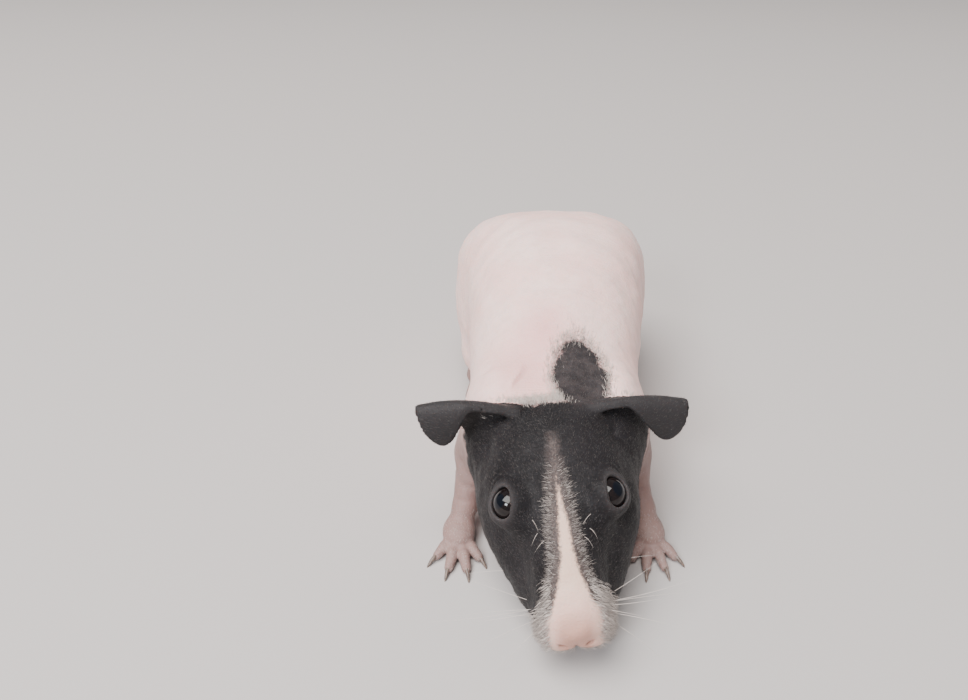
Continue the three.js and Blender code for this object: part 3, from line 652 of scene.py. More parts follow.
def markings(points):
    """All markings at the points, by name, the painted shade, highlight and sheen among them."""
    x, y, z = points.T
    hx, hy, hz = to_head(x, y, z)
    off_middle = np.abs(hx)
    collar = COLLAR_LOW + COLLAR_RISE * smooth_step(hz, -24, 10)
    (px, py), (rx, ry) = NAPE_PATCH
    patch = (1 - np.sqrt(((x - px) / rx) ** 2 + ((y - py) / ry) ** 2)) * rx - 40 * (z < 45)
    near_head = 14 - 2 * head_flesh(hx, hy, hz) + 60 * smooth_step(z, 40, 50)
    ear = np.minimum(*(ear_flesh(points, side) for side in (1, -1)))
    below_ear = np.minimum(np.minimum(5 - ear, 77 - hy), 17 - hz)
    black = np.maximum(np.minimum(collar - hy, near_head), patch)
    black = np.maximum(black, np.where(ear < 1, 6, below_ear))
    black = np.maximum(black, 3.5 - ball(off_middle, hy, hz, *CUP[:2]))
    blaze = stripe(hx, hy, BLAZE_AT, BLAZE_LEFT, BLAZE_RIGHT) - OUTSIDE * (hy > BLAZE_BACK)
    low = smooth_step(-hz, 3, 7)
    blaze = blaze * (1 - low) + np.minimum(CHIN_BACK - hy, CHIN_HALF - off_middle) * low
    blaze = np.maximum(blaze, np.minimum(NOSE_BACK - hy + 0.15 * hx, NOSE_HALF - off_middle))
    roan = stripe(hx, hy, ROAN_AT, ROAN_LEFT, ROAN_RIGHT) - OUTSIDE * (hy > ROAN_BACK)
    # Legs: the outer sides of the forelegs and the hind feet get a dusky brown tint, partly their own colour
    # and partly painted shade.
    limb = (1 - smooth_step(z, 34, 58)) * (1 - smooth_step(y, -40, -8))
    limb = np.maximum(limb, (1 - smooth_step(z, 5, 24)) * smooth_step(y, 20, 40))
    nose = 1 - smooth_step(hy + 0.25 * np.abs(hz - 1), 1, 19)
    muzzle = np.maximum(smooth_step(off_middle, 6.5, 9.5), smooth_step(-hz, 4, 7))
    # Lid rims: a lighter grey ring round each eye's opening, a painted highlight.
    lids = np.minimum(*(lid_distance(hx, hy, hz, side) for side in (1, -1)))
    return {
        "black": black,
        "blaze": blaze,
        "roan": roan,
        "patch": smooth_step(patch, -1, 3),
        "rosy": sum(share * np.exp(-((x - a) ** 2 + (y - b) ** 2) / wide) for (a, b), wide, share in ROSY),
        "dusky_tint_and_painted_shade": limb * smooth_step(np.abs(x - FORE["middle"]), 12, 20),
        "nose": nose * (1 - smooth_step(off_middle, 3.5, 11)),
        "muzzle": (1 - smooth_step(hy - 0.2 * hx, 9, 13.5)) * muzzle,
        "painted_lid_highlight": np.exp(-(lids / LID_GLOW) ** 2),
        # Ears: the whole ear sheet, lightened as painted sheen.
        "painted_ear_sheen": smooth_step(-ear, -1, 0.2),
    }


def set_marks(mesh, marks):
    """Keeps each marking on the mesh as a value of each point."""
    for name, values in marks.items():
        mesh.attributes.new(name, "FLOAT", "POINT").data.foreach_set("value", values.astype(np.float32))


set_marks(skin.data, markings(skin_points))


# The look of bare skin: matt and finely creased, thin enough for light to enter it, pink or black by the
# markings, with rosy and grizzled places laid over them, dusky legs that are partly painted shade, a painted
# highlight on the lid rims and painted sheen on the ears.
def node(tree, kind, inputs=(), **settings):
    """A shader node with its settings, and each input set to a value or fed from another node's output."""
    made = tree.nodes.new(kind if kind.startswith("Node") else "ShaderNode" + kind)
    for name, value in settings.items():
        setattr(made, name, value)
    for name, value in dict(inputs).items():
        if isinstance(value, bpy.types.NodeSocket):
            tree.links.new(value, made.inputs[name])
        else:
            made.inputs[name].default_value = value
    return made


def sum_of(tree, a, b, factor=1.0):
    """a plus b times a factor."""
    return node(tree, "Math", {0: b, 1: factor, 2: a}, operation="MULTIPLY_ADD").outputs[0]


def product(tree, a, b):
    """a times b."""
    return node(tree, "Math", {0: a, 1: b}, operation="MULTIPLY").outputs[0]


def ramp(tree, value, low, high, start=0.0, end=1.0):
    """value carried from the range low to high on to start to end, eased at both ends."""
    inputs = {"Value": value, "From Min": low, "From Max": high, "To Min": start, "To Max": end}
    return node(tree, "MapRange", inputs, interpolation_type="SMOOTHSTEP").outputs[0]


def blend(tree, factor, a, b):
    """Two colours mixed: a where the factor is 0 and b where it is 1."""
    return node(tree, "Mix", {0: factor, 6: a, 7: b}, data_type="RGBA").outputs[2]


def layered(tree, colour, layers):
    """A colour with each layer's tint laid over it in turn, by the layer's share."""
    for share, tint in layers:
        colour = blend(tree, share, colour, tint)
    return colour


def mark(tree, name):
    """A value kept on the mesh's points."""
    return node(tree, "Attribute", attribute_name=name).outputs["Fac"]


def noise(tree, place, scale, detail=3.0, rough=0.55):
    """An uneven value round 0.5, with this many waves to the metre."""
    inputs = {"Vector": place, "Scale": scale, "Detail": detail, "Roughness": rough}
    return node(tree, "TexNoise", inputs).outputs["Fac"]


def new_material(name, **settings):
    """A material with its node tree and its Principled shader, given the settings that are even all over."""
    material = bpy.data.materials.new(name)
    material.use_nodes = True
    shader = material.node_tree.nodes["Principled BSDF"]
    for key, value in settings.items():
        shader.inputs[key.replace("_", " ")].default_value = value
    return material, material.node_tree, shader


def marking_masks():
    """A group that gives black, blaze and roan as masks, their edges broken up as a grown coat's are."""
    group = bpy.data.node_groups.new("marking_masks", "ShaderNodeTree")
    for name in ("Black", "Blaze", "Roan"):
        group.interface.new_socket(name, in_out="OUTPUT", socket_type="NodeSocketFloat")
    place = node(group, "TexCoord").outputs["Object"]
    broad, fine = (
        node(group, "Math", {0: noise(group, place, *grain), 1: 0.5}, operation="SUBTRACT").outputs[0]
        for grain in ((170, 2), (1100, 3, 0.7))
    )
    ends = node(group, "NodeGroupOutput")
    for name, source, wide, narrow, soft in (
        ("Black", "black", 6.0, 4.0, 1.3),
        ("Blaze", "blaze", 1.5, 2.6, 0.8),
        ("Roan", "roan", 3.0, 3.0, 2.4),
    ):
        edge = sum_of(group, sum_of(group, mark(group, source), broad, wide), fine, narrow)
        group.links.new(ramp(group, edge, -soft, soft), ends.inputs[name])
    return group


MASKS = marking_masks()
skin_look, tree, shader = new_material(
    "bare_skin", Subsurface_Weight=0.18, Subsurface_Radius=(1.0, 0.45, 0.3), Subsurface_Scale=0.0025,
    Sheen_Weight=0.03, Sheen_Roughness=0.45,
)
place = node(tree, "TexCoord").outputs["Object"]
masks = node(tree, "Group", node_tree=MASKS).outputs
broad, middling, fine = (noise(tree, place, *grain) for grain in ((45, 3), (260, 4), (1500, 4, 0.65)))
pink = blend(tree, ramp(tree, broad, 0.35, 0.65), (0.95, 0.615, 0.565, 1), (0.95, 0.68, 0.63, 1))
pink = layered(tree, pink, (
    (product(tree, ramp(tree, middling, 0.42, 0.7), 0.35), (0.74, 0.52, 0.46, 1)),
    (product(tree, mark(tree, "rosy"), 0.7), (0.82, 0.42, 0.40, 1)),
    # Legs: a dusky brown tint, partly their own colour and partly painted shade.
    (product(tree, mark(tree, "dusky_tint_and_painted_shade"), 0.8), (0.115, 0.062, 0.053, 1)),
    (product(tree, mark(tree, "nose"), 0.75), (0.42, 0.21, 0.14, 1)),
    (product(tree, mark(tree, "muzzle"), ramp(tree, fine, 0.35, 0.65, 0.45, 0.95)), (0.22, 0.17, 0.16, 1)),
    (product(tree, ramp(tree, fine, 0.55, 0.75), 0.16), (0.55, 0.36, 0.30, 1)),
))
mottling = product(tree, ramp(tree, middling, 0.4, 0.62), 0.6)
mottled = blend(tree, mottling, (0.062, 0.05, 0.05, 1), (0.018, 0.016, 0.0175, 1))
black = blend(tree, ramp(tree, broad, 0.3, 0.7), (0.007, 0.006, 0.0068, 1), (0.017, 0.0148, 0.016, 1))
black = layered(tree, black, (
    (product(tree, ramp(tree, fine, 0.5, 0.72), 0.5), (0.045, 0.040, 0.042, 1)),
    # Lid rims: lighter grey, a painted highlight.
    (product(tree, mark(tree, "painted_lid_highlight"), 0.28), (0.12, 0.105, 0.105, 1)),
    # Ears: lighter grey, a painted sheen.
    (product(tree, mark(tree, "painted_ear_sheen"), 0.5), (0.052, 0.047, 0.048, 1)),
    (product(tree, mark(tree, "patch"), 0.75), mottled),
    (product(tree, masks["Roan"], ramp(tree, fine, 0.3, 0.7, 0.25, 0.75)), (0.17, 0.13, 0.12, 1)),
))
covered = node(tree, "Math", {0: mark(tree, "nose"), 1: mark(tree, "muzzle")}, operation="MAXIMUM")
blaze = blend(tree, covered.outputs[0], (0.74, 0.51, 0.41, 1), pink)
colour = blend(tree, masks["Blaze"], blend(tree, masks["Black"], pink, black), blaze)
tree.links.new(colour, shader.inputs["Base Color"])
tree.links.new(ramp(tree, middling, 0.3, 0.7, 0.5, 0.66), shader.inputs["Roughness"])
tree.links.new(ramp(tree, masks["Black"], 0, 1, 0.4, 0.13), shader.inputs["Specular IOR Level"])
across = node(tree, "Mapping", {"Vector": place, "Scale": (90, 900, 300)}).outputs[0]
wrinkles = {"Height": noise(tree, across, 1, 4, 0.6), "Strength": 0.5, "Distance": 0.0006}
creased = node(tree, "Bump", wrinkles).outputs[0]
cells = node(tree, "TexVoronoi", {"Vector": place, "Scale": 1300, "Randomness": 1.0}).outputs["Distance"]
grain = {"Height": cells, "Strength": 0.45, "Distance": 0.00022, "Normal": creased}
tree.links.new(node(tree, "Bump", grain).outputs[0], shader.inputs["Normal"])
skin.data.materials.append(skin_look)


# Eyes: glossy dark balls, set in their sockets behind the lids. Each is a ball with the clear cornea standing
# a little proud in front: a nearly black brown iris round a black pupil, all under one wet gloss.
CORNEA_PROUD, CORNEA_ANGLE = 0.35, 0.55
EYE_PLAY = 0.02
PUPIL_EDGE = (2.2, 2.8)


def eye_ball(side):
    """A sphere of angle from the outward axis and angle round it, with a low bulge round the axis."""
    tilt, turn = np.meshgrid(np.linspace(0, np.pi, 49), np.linspace(0, 2 * np.pi, 65)[:-1], indexing="ij")
    bulge = CORNEA_PROUD * np.exp(-((tilt / CORNEA_ANGLE) ** 2))
    ring = (np.sin(tilt) * np.cos(turn), np.sin(tilt) * np.sin(turn), np.cos(tilt))
    way = sum(r[..., None] * w for r, w in zip(ring, eye_axes(side)))
    return from_head(EYES[side][0] + (EYE_RADIUS - EYE_PLAY + bulge[..., None]) * way)


def grid_faces(rows, columns):
    """Squares between the rows of a grid of points whose last column meets its first."""
    i, j = np.meshgrid(np.arange(rows - 1), np.arange(columns), indexing="ij")
    k = (j + 1) % columns
    square = (i * columns + j, (i + 1) * columns + j, (i + 1) * columns + k, i * columns + k)
    return np.stack(square, -1).reshape(-1, 4)


def centre_distance(points, side):
    """How far each point lies from the line out through the middle of the eye."""
    u, v, _ = eye_frame(*to_head(*points.T), side)
    return np.hypot(u, v)


eye_look, tree, shader = new_material("wet_eye", Coat_Weight=0.15, Coat_Roughness=0.02, IOR=1.32)
place = node(tree, "TexCoord").outputs["Object"]
streaks = noise(tree, place, 1800, 3)
iris = blend(tree, ramp(tree, streaks, 0.35, 0.65), (0.005, 0.0035, 0.004, 1), (0.011, 0.007, 0.0065, 1))
colour = blend(tree, ramp(tree, mark(tree, "from_middle"), *PUPIL_EDGE), (0.002, 0.003, 0.006, 1), iris)
tree.links.new(colour, shader.inputs["Base Color"])
tree.links.new(ramp(tree, streaks, 0.3, 0.7, 0.03, 0.07), shader.inputs["Roughness"])

for name, side in (("left", 1), ("right", -1)):
    points = eye_ball(side)
    eye = mesh_piece("eyeball_" + name, points.reshape(-1, 3), grid_faces(*points.shape[:2]))
    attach(eye, "root")
    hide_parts("eye_" + name)
    set_marks(eye.data, {"from_middle": centre_distance(points.reshape(-1, 3), side)})
    eye.data.materials.append(eye_look)


# Claws: dull horn points, one at the end of each toe, with their roots in the flesh. Each is a bent cone of
# oval section, streaked along its length.
CLAW_IN_TOE = 0.3
CLAW_PLUMP, CLAW_WIDE, CLAW_TALL, CLAW_ARCH = 0.52, 0.8, 1.15, 0.6
CLAW_TIP_RADIUS = 0.06
CLAW_ROWS, CLAW_COLUMNS = 12, 10


def claw_sheet(tip, claw_tip, way, toe_radius):
    """A cone of the way along and the angle round, arched up from the toe's end and down to its own tip."""
    turn = np.linspace(0, 2 * np.pi, CLAW_COLUMNS + 1)[:-1]
    t, angle = np.meshgrid(np.linspace(-CLAW_IN_TOE, 1, CLAW_ROWS), turn, indexing="ij")
    plump = toe_radius * CLAW_PLUMP
    taper = np.sqrt(np.clip(1 - ((t + CLAW_IN_TOE) / (1 + CLAW_IN_TOE)) ** 1.6, 0, 1))
    wide = plump * taper * CLAW_WIDE + CLAW_TIP_RADIUS
    across = np.array((-way[1], way[0], 0))
    place = tip + (claw_tip - tip) * t[..., None] + across * (wide * np.cos(angle))[..., None]
    place[..., 2] += plump * (1 - (2 * t - 0.7) ** 2) * CLAW_ARCH + wide * np.sin(angle) * CLAW_TALL
    return place


def repeated_faces(faces, each, count):
    """The faces of one shape of so many points, for each of a row of such shapes."""
    return np.concatenate([faces + n * each for n in range(count)])


claw_look, tree, shader = new_material("claw_horn", Subsurface_Weight=0.1, Subsurface_Scale=0.001)
place = node(tree, "TexCoord").outputs["Object"]
along = node(tree, "Mapping", {"Vector": place, "Scale": (2400, 260, 900)}).outputs[0]
streaks = noise(tree, along, 1, 3)
colour = blend(tree, ramp(tree, streaks, 0.35, 0.7), (0.09, 0.063, 0.053, 1), (0.27, 0.20, 0.165, 1))
tree.links.new(colour, shader.inputs["Base Color"])
tree.links.new(ramp(tree, streaks, 0.3, 0.7, 0.3, 0.42), shader.inputs["Roughness"])
scratches = node(tree, "Bump", {"Height": streaks, "Strength": 0.3, "Distance": 0.0001}).outputs[0]
tree.links.new(scratches, shader.inputs["Normal"])

for foot, limb in (("fore", FORE), ("hind", HIND)):
    for name, side in (("left", 1), ("right", -1)):
        _, _, tips, claw_tips, ways = toe_points(limb)
        points = np.stack([claw_sheet(*toe, limb["toe_radius"]) for toe in zip(tips, claw_tips, ways)])
        count, rows, columns = points.shape[:3]
        faces = repeated_faces(grid_faces(rows, columns), rows * columns, count)
        points = points.reshape(-1, 3) * (side, 1, 1) + (limb["middle"], 0, 0)
        claws = mesh_piece(f"claws_{foot}_{name}", points, faces if side > 0 else faces[:, ::-1])
        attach(claws, "root")
        claws.data.materials.append(claw_look)


# Coat: what little hair there is. Each hair is a closed three-sided blade, rooted in the skin, that bends
# over along the lie of the coat: dark plush on the head and ears, white bristles beside the blaze and on the
# muzzle, a pale fringe behind the ears, fine down on the body, and short hairs on the feet.
SQUARE_CORNERS = skin_points[skin_squares]
SQUARE_NORMALS = np.cross(
    SQUARE_CORNERS[:, 2] - SQUARE_CORNERS[:, 0],
    SQUARE_CORNERS[:, 3] - SQUARE_CORNERS[:, 1],
)
SQUARE_AREAS = np.linalg.norm(SQUARE_NORMALS, axis=1) / 2
SQUARE_NORMALS /= np.maximum(2 * SQUARE_AREAS[:, None], 1e-9)
SQUARE_MIDDLES = SQUARE_CORNERS.mean(1)
SQUARE_MARKS = markings(SQUARE_MIDDLES)
SQUARE_HEAD = np.stack(to_head(*SQUARE_MIDDLES.T), 1)
SQUARE_EAR = np.minimum(*(ear_flesh(SQUARE_MIDDLES, side) for side in (1, -1))) < 1.2
EAR_PATCH = 4
PATCH_STEP, PATCH_WIDE, PATCH_LOW, PATCH_TALL, UNWRAP_EDGE = 0.16, 0.15, 0.82, 0.16, 0.02
BLADE_SPOT = 0.0015
ROOT_DEPTH, BENT_OVER, BLADE_TALL = 0.2, 0.55, 0.6


def scattered(density, count, seed):
    """Roots spread over the skin by area times a density, with their squares' numbers."""
    rng = np.random.default_rng(seed)
    share = np.cumsum(SQUARE_AREAS * density)
    which = np.searchsorted(share, rng.uniform(0, share[-1], count))
    a, b = rng.uniform(size=(2, count, 1))
    c = SQUARE_CORNERS[which]
    first_half = c[:, 0] * (1 - a) * (1 - b) + c[:, 1] * a * (1 - b)
    return first_half + c[:, 2] * a * b + c[:, 3] * (1 - a) * b, which


def unit(v):
    """Each vector over its length."""
    return v / np.maximum(np.linalg.norm(v, axis=-1, keepdims=True), 1e-9)


def unwrapped(points, on_ear):
    """A place on an unwrap of the skin: head and trunk by the angle round the body and the length along it,
    and feet and ears each in a patch of their own above that."""
    x, y, z = points.T
    middle = curve_through(TRUNK["along"], TRUNK["across"], y)
    angle = np.arctan2(x - middle, z - 38) / (2 * np.pi) + 0.5
    place = np.stack((UNWRAP_EDGE + 0.96 * angle, UNWRAP_EDGE + 0.76 * (y + 124) / 250), 1)
    foot = (z < 12) & (np.abs(x) > 16) & ~on_ear
    patch = np.where(on_ear, EAR_PATCH + (x > 0), (x > 0) + 2 * (y > 0))
    low_y = np.where(on_ear, -66, np.where(y > 0, 28, -84))
    long_y = np.where(on_ear, 24, np.where(y > 0, 76, 50))
    own = np.stack((
        UNWRAP_EDGE + PATCH_STEP * patch + PATCH_WIDE * np.clip((np.abs(x + 3) - 12) / 48, 0, 1),
        PATCH_LOW + PATCH_TALL * np.clip((y - low_y) / long_y, 0, 1),
    ), 1)
    return np.where((foot | on_ear)[:, None], own, place)


def set_bake_map(piece, spots, faces):
    """Keeps each point's place on the unwrap as the piece's UV map for baking."""
    layer = piece.data.uv_layers.new(name="OFBake")
    layer.data.foreach_set("uv", spots[faces.ravel()].ravel())


def add_tufts(name, roots, normals, ways, length, width, rise, marks, on_ear, rings=2, droop=0.0):
    """Blades of one coat piece. Along a blade, t from 0 to 1, its middle runs from the root by length times
    t times the rising way, bending to the lie by t squared, and its radius narrows to a point."""
    count = len(roots)
    ways = unit(ways - (ways * normals).sum(1, keepdims=True) * normals)
    first = unit(normals * rise[:, None] + ways * (1 - rise[:, None]))
    t = np.linspace(0, 1, rings + 1)[:, None, None]
    middle = roots - ROOT_DEPTH * normals + length[:, None] * (t * first + BENT_OVER * t * t * (ways - first))
    middle[..., 2] -= droop * length * t[..., 0] ** 2
    flat = unit(np.cross(ways, normals))
    up = unit(np.cross(flat, first))
    angle = 2 * np.pi * np.arange(3) / 3
    ring = flat[:, None] * np.cos(angle)[:, None] + up[:, None] * (BLADE_TALL * np.sin(angle))[:, None]
    radius = (width[:, None] / 2 * (1 - t[..., 0] ** 1.6)[:, :, None])[..., None]
    points = middle[:, :, None] + radius * ring[None]
    points = points[:rings].transpose(1, 0, 2, 3).reshape(count, rings * 3, 3)
    points = np.concatenate((points, middle[rings][:, None]), 1)
    each, last = rings * 3 + 1, rings * 3 - 3
    faces = [(0, 2, 1)]
    for a in range(0, last, 3):
        for b, c in ((0, 1), (1, 2), (2, 0)):
            faces += [(a + b, a + c, a + 3 + c), (a + b, a + 3 + c, a + 3 + b)]
    faces += [(last + a, last + (a + 1) % 3, each - 1) for a in range(3)]
    faces = repeated_faces(np.array(faces), each, count)
    piece = mesh_piece(name, points.reshape(-1, 3), faces)
    set_marks(piece.data, {key: np.repeat(values, each) for key, values in marks.items()})
    spots = np.repeat(unwrapped(roots, on_ear), each, 0)
    turn = np.concatenate((np.tile(angle, rings), [0]))
    out = BLADE_SPOT * np.concatenate((np.repeat(np.linspace(1, 0.4, rings), 3), [0]))
    spots += np.tile(np.stack((out * np.cos(turn), out * np.sin(turn)), 1), (count, 1))
    set_bake_map(piece, spots, faces)
    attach(piece, "root")
    piece.data.materials.append(hair_look)


# Each hair is a share of the way from dark to white where the coat is black, and pale elsewhere.
hair_look, tree, shader = new_material("short_hair", Specular_IOR_Level=0.16)
place = node(tree, "TexCoord").outputs["Object"]
masks = node(tree, "Group", node_tree=MASKS).outputs
uneven = noise(tree, place, 700, 2)
dark = blend(tree, uneven, (0.012, 0.0108, 0.0118, 1), (0.045, 0.041, 0.043, 1))
pale = blend(tree, uneven, (0.62, 0.50, 0.44, 1), (0.86, 0.80, 0.75, 1))
grey = blend(tree, mark(tree, "white"), dark, pale)
tree.links.new(blend(tree, masks["Black"], pale, grey), shader.inputs["Base Color"])
tree.links.new(ramp(tree, uneven, 0.3, 0.7, 0.45, 0.6), shader.inputs["Roughness"])

head_x, head_y, head_z = SQUARE_HEAD.T
BLACK, BLAZE, ROAN = (SQUARE_MARKS[name] for name in ("black", "blaze", "roan"))
BACKWARD = TURN @ np.array((0.0, 1.0, 0.0))
SIDEWAYS = TURN @ np.array((1.0, 0.0, 0.0))
DOWNWARD = TURN @ np.array((0.0, 0.0, -1.0))
STRAY = 0.22
eye_gap = np.minimum(*(np.linalg.norm(SQUARE_HEAD - EYES[side][0], axis=1) for side in (1, -1)))
clear_of_eye = smooth_step(eye_gap, EYE_RADIUS + 0.6, EYE_RADIUS + 3)


def hair_coat(name, density, count, seed, lie, long, wide, rise, white, rings=2, droop=0.0):
    """Scatters one kind of hair. lie gives its ways from the roots' places in the head's frame, and each size
    is a middle value and how far most hairs stray from it."""
    rng = np.random.default_rng(seed + 100)
    roots, which = scattered(density * clear_of_eye, count, seed)
    ways = lie(SQUARE_HEAD[which]) + rng.normal(size=(count, 3)) * STRAY
    length, width, lift, pale = (
        np.clip(rng.normal(middle, spread, count), middle - 2 * spread, middle + 2 * spread)
        for middle, spread in (long, wide, rise, white)
    )
    lift, pale = np.clip(lift, 0.05, 0.95), np.clip(pale, 0, 1)
    marks = {"black": BLACK[which], "blaze": BLAZE[which], "roan": ROAN[which], "white": pale}
    normals, on_ear = SQUARE_NORMALS[which], SQUARE_EAR[which]
    add_tufts(name, roots, normals, ways, length, width, lift, marks, on_ear, rings, droop)


def lie_back(at):
    """Back from the nose, spreading a little to the sides."""
    return BACKWARD + 0.35 * np.sign(at[:, :1]) * SIDEWAYS


def lie_out(at):
    """Away from the middle of the face, and a little back."""
    return np.sign(at[:, :1]) * SIDEWAYS + 0.35 * BACKWARD + 0.25 * DOWNWARD


def lie_forward(at):
    """Out to the side and down, round the lips."""
    return np.sign(at[:, :1]) * SIDEWAYS + 0.6 * DOWNWARD - 0.25 * BACKWARD


def lie_along(at):
    """Along the body towards the rump."""
    return np.tile((0.0, 1.0, -0.25), (len(at), 1))


def lie_to_toes(at):
    """Towards the toes."""
    return np.tile((0.0, -1.0, -0.2), (len(at), 1))


# Where each kind grows, how many hairs of it there are, and its seed, lie, length, width, rise from the skin
# and whiteness.
on_head = smooth_step(BLACK, -1, 1.5)
plush = on_head * (BLAZE < 0.5) * (1 + 0.6 * smooth_step(head_y, 40, 75)) * (~SQUARE_EAR + 0.5 * SQUARE_EAR)
for name, half, seed in (("plush_left", head_x > 0, 11), ("plush_right", head_x <= 0, 12)):
    hair_coat(
        name, plush * half, 15000, seed, lie_back, (1.25, 0.3), (0.105, 0.015), (0.45, 0.1), (0.06, 0.07)
    )
beside = np.exp(-((ROAN - 0.8) / 1.3) ** 2) * (BLAZE < 0) * smooth_step(head_y, 8, 16) * (head_z > 2)
beside *= 1 - smooth_step(head_y, 38, 54)
hair_coat(
    "blaze_fringe", beside, 2200, 13, lie_out, (1.7, 0.5), (0.11, 0.03), (0.4, 0.12), (0.42, 0.25), rings=3
)
beside_nose = np.exp(-((BLAZE + 1.2) / 2) ** 2) * smooth_step(np.abs(head_x), 4.5, 7)
muzzle = (1 - smooth_step(head_y, 13, 18)) * np.maximum(beside_nose, SQUARE_MARKS["muzzle"] * (head_z > -6))
hair_coat(
    "muzzle_bristles", muzzle, 4200, 14, lie_forward, (3.2, 1.0), (0.15, 0.03), (0.42, 0.12), (0.75, 0.2),
    rings=3, droop=0.1,
)
lips = (1 - smooth_step(head_y, 16, 24)) * smooth_step(-head_z, 3, 6) * (np.abs(head_x) < 12)
hair_coat("lip_hair", lips, 2600, 15, lie_forward, (2.0, 0.5), (0.12, 0.02), (0.35, 0.1), (0.9, 0.1))
nose_down = (BLAZE > 0) * (head_y > 6) * (1 - smooth_step(head_y, 30, 40))
hair_coat("blaze_down", nose_down, 1800, 16, lie_back, (0.8, 0.2), (0.09, 0.01), (0.4, 0.1), (0.95, 0.05))
nape_edge = np.exp(-((BLACK + 0.6) / 1.6) ** 2) * smooth_step(SQUARE_MIDDLES[:, 2], 50, 60) * (~SQUARE_EAR)
nape_edge *= (head_z > 17) * (0.25 + 0.75 * (SQUARE_MIDDLES[:, 1] < -50) * (SQUARE_MIDDLES[:, 0] < -4))
hair_coat(
    "nape_fringe", nape_edge, 2200, 17, lie_along, (2.6, 0.7), (0.15, 0.03), (0.6, 0.12), (0.8, 0.25), rings=3
)
x, y, z = SQUARE_MIDDLES.T
body = (BLACK < -1) * smooth_step(z, 10, 25)
hair_coat("body_down", body, 9000, 18, lie_along, (1.0, 0.3), (0.07, 0.01), (0.3, 0.1), (1.0, 0.0))
feet = (z < 14) * (z > 1.5) * (np.abs(x) > 18) * (BLACK < 0) * (SQUARE_NORMALS[:, 2] > -0.2)
hair_coat("feet_hair", feet, 4200, 19, lie_to_toes, (1.3, 0.35), (0.09, 0.015), (0.3, 0.1), (1.0, 0.0))


# Whiskers: long pale hairs from the muzzle, brows and cheeks, stiff at the root and drooping at the tip. Each
# is its root in the head's frame, the way it leaves, its length and how far it droops.
WHISKERS = (
    ((12.2, 12, -1), (0.9, -0.1, 0.35), 34, 0.1),
    ((12.0, 9, -3), (0.95, -0.35, 0.1), 26, 0.3),
    ((11.5, 14, -5), (0.95, 0.1, 0.0), 24, 0.3),
    ((11.8, 10, 1), (0.9, -0.2, 0.3), 20, 0.15),
    ((11.0, 7, -5), (0.8, -0.5, -0.2), 18, 0.4),
    ((12.6, 16, -3), (0.9, 0.35, 0.2), 22, 0.2),
    ((10.8, 8, 3), (0.85, -0.3, 0.5), 14, 0.2),
    ((9.6, 32.5, 20), (-0.5, -0.5, 0.5), 5.5, 0.8),
    ((6.4, 26, 18), (0.6, -0.5, 0.4), 5, 0.9),
    ((8.8, 28, 19), (0.5, -0.6, 0.4), 4.5, 0.9),
    ((18, 30, -6), (0.95, 0.1, -0.1), 13, 0.3),
)
WHISKER_ROWS, WHISKER_COLUMNS = 25, 5
WHISKER_THICK, WHISKER_TIP = 0.06, 0.008
WHISKER_ROOT_DEPTH, WHISKER_SWEEP, WHISKER_STRAY = 0.3, 0.18, 0.08
WHISKER_MARKS = {"black": 5, "blaze": -5, "roan": -5, "white": 0.9}
rng = np.random.default_rng(31)
starts, leaving, sizes, droops = [], [], [], []
for side in (1, -1):
    for root, way, length, droop in WHISKERS:
        starts.append(np.array(root) * (side, 1, 1))
        leaving.append(unit(np.array(way) * (side, 1, 1) + rng.normal(size=3) * WHISKER_STRAY))
        sizes.append(length * rng.uniform(0.85, 1.1))
        droops.append(droop)
starts = from_head(np.array(starts))
starts = starts - (skin_field(starts)[:, None] + WHISKER_ROOT_DEPTH) * unit(slope_of(skin_field, starts))
leaving, sizes, droops = np.array(leaving) @ TURN.T, np.array(sizes), np.array(droops)

# A whisker's middle leaves its root straight, and falls and sweeps back by the square of the way along. Its
# ring narrows to the tip, and closes at both ends.
t = np.linspace(0, 1, WHISKER_ROWS)[:, None, None]
whisker = starts + sizes[:, None] * t * leaving
whisker[..., 2] -= droops * sizes * t[..., 0] ** 2
whisker[..., 1] += WHISKER_SWEEP * sizes * t[..., 0] ** 2
ahead = unit(np.gradient(whisker, axis=0))
flat = unit(np.cross(ahead, (0.0, 0.0, 1.0)))
up = np.cross(flat, ahead)
angle = 2 * np.pi * np.arange(WHISKER_COLUMNS) / WHISKER_COLUMNS
thick = WHISKER_THICK * (1 - t[..., 0] ** 1.8)[..., None, None] + WHISKER_TIP
thick[[0, -1]] = 0
ring = flat[:, :, None] * np.cos(angle)[:, None] + up[:, :, None] * np.sin(angle)[:, None]
points = (whisker[:, :, None] + thick * ring).transpose(1, 0, 2, 3)
count, rows, columns = points.shape[:3]
faces = repeated_faces(grid_faces(rows, columns)[:, ::-1], rows * columns, count)
whiskers = mesh_piece("whiskers", points.reshape(-1, 3), faces)
set_marks(whiskers.data, {name: np.full(points.size // 3, value) for name, value in WHISKER_MARKS.items()})
spots = np.repeat(unwrapped(starts, np.zeros(count, bool)), rows * columns, 0)
turn = np.tile(angle, count * rows)
spots += BLADE_SPOT * np.stack((np.cos(turn), np.sin(turn)), 1)
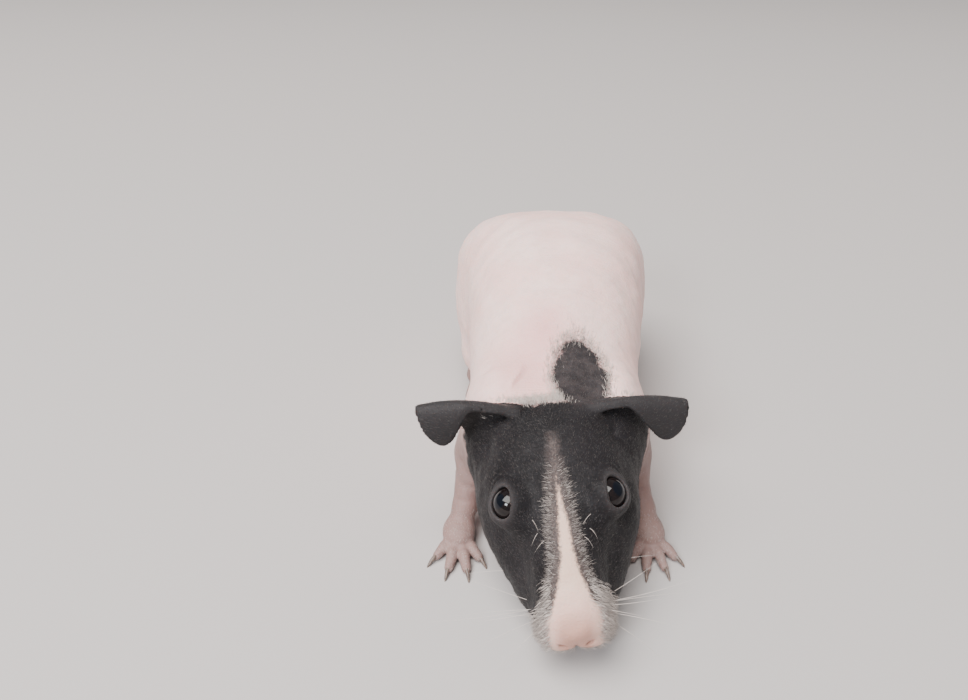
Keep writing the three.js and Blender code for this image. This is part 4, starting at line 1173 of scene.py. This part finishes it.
set_bake_map(whiskers, spots, faces)
whiskers.data.materials.append(hair_look)
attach(whiskers, "root")


# Floor, light and camera: a plain pale floor that reaches out of sight, an even pale surround, a wide soft
# lamp overhead and a small one beside, and a camera that looks down on the animal's face from close by.
FLOOR_HALF = 6
CAMERA_AT, CAMERA_TILT = (-0.0285, -0.266, 0.217), 58.5
CAMERA_LENS, CAMERA_SENSOR = 27.52, 36
floor = bpy.data.meshes.new("floor")
corners = [(x * FLOOR_HALF, y * FLOOR_HALF, 0) for x, y in ((-1, -1), (1, -1), (1, 1), (-1, 1))]
floor.from_pydata(corners, [], [(0, 1, 2, 3)])
floor = bpy.data.objects.new("floor", floor)
bpy.context.scene.collection.objects.link(floor)
floor.data.materials.append(new_material("floor_paint", Base_Color=(0.49, 0.455, 0.443, 1), Roughness=0.8)[0])
world = bpy.data.worlds.new("room")
world.use_nodes = True
world.node_tree.nodes["Background"].inputs["Color"].default_value = (0.94, 0.97, 1, 1)
world.node_tree.nodes["Background"].inputs["Strength"].default_value = 0.38
bpy.context.scene.world = world


def area_light(name, power, size, place, target, tint):
    """A soft square light at the place, facing the target."""
    lamp = bpy.data.lights.new(name, "AREA")
    lamp.energy, lamp.size, lamp.color = power, size, tint
    lamp = bpy.data.objects.new(name, lamp)
    lamp.location = place
    lamp.rotation_euler = (Vector(target) - Vector(place)).to_track_quat("-Z", "Y").to_euler()
    bpy.context.scene.collection.objects.link(lamp)


area_light("ceiling", 410, 3.2, (-1.2, -0.9, 4), (0, 0.4, 0), (1, 0.97, 0.94))
area_light("window", 6.5, 0.22, (-0.42, -0.75, 0.62), (0, -0.08, 0.05), (0.9, 0.95, 1))
camera = bpy.data.cameras.new("camera")
camera.lens = CAMERA_LENS
camera.sensor_width = CAMERA_SENSOR
camera = bpy.data.objects.new("camera", camera)
camera.location = CAMERA_AT
camera.rotation_euler = (np.radians(CAMERA_TILT), 0, 0)
bpy.context.scene.collection.objects.link(camera)
bpy.context.scene.camera = camera
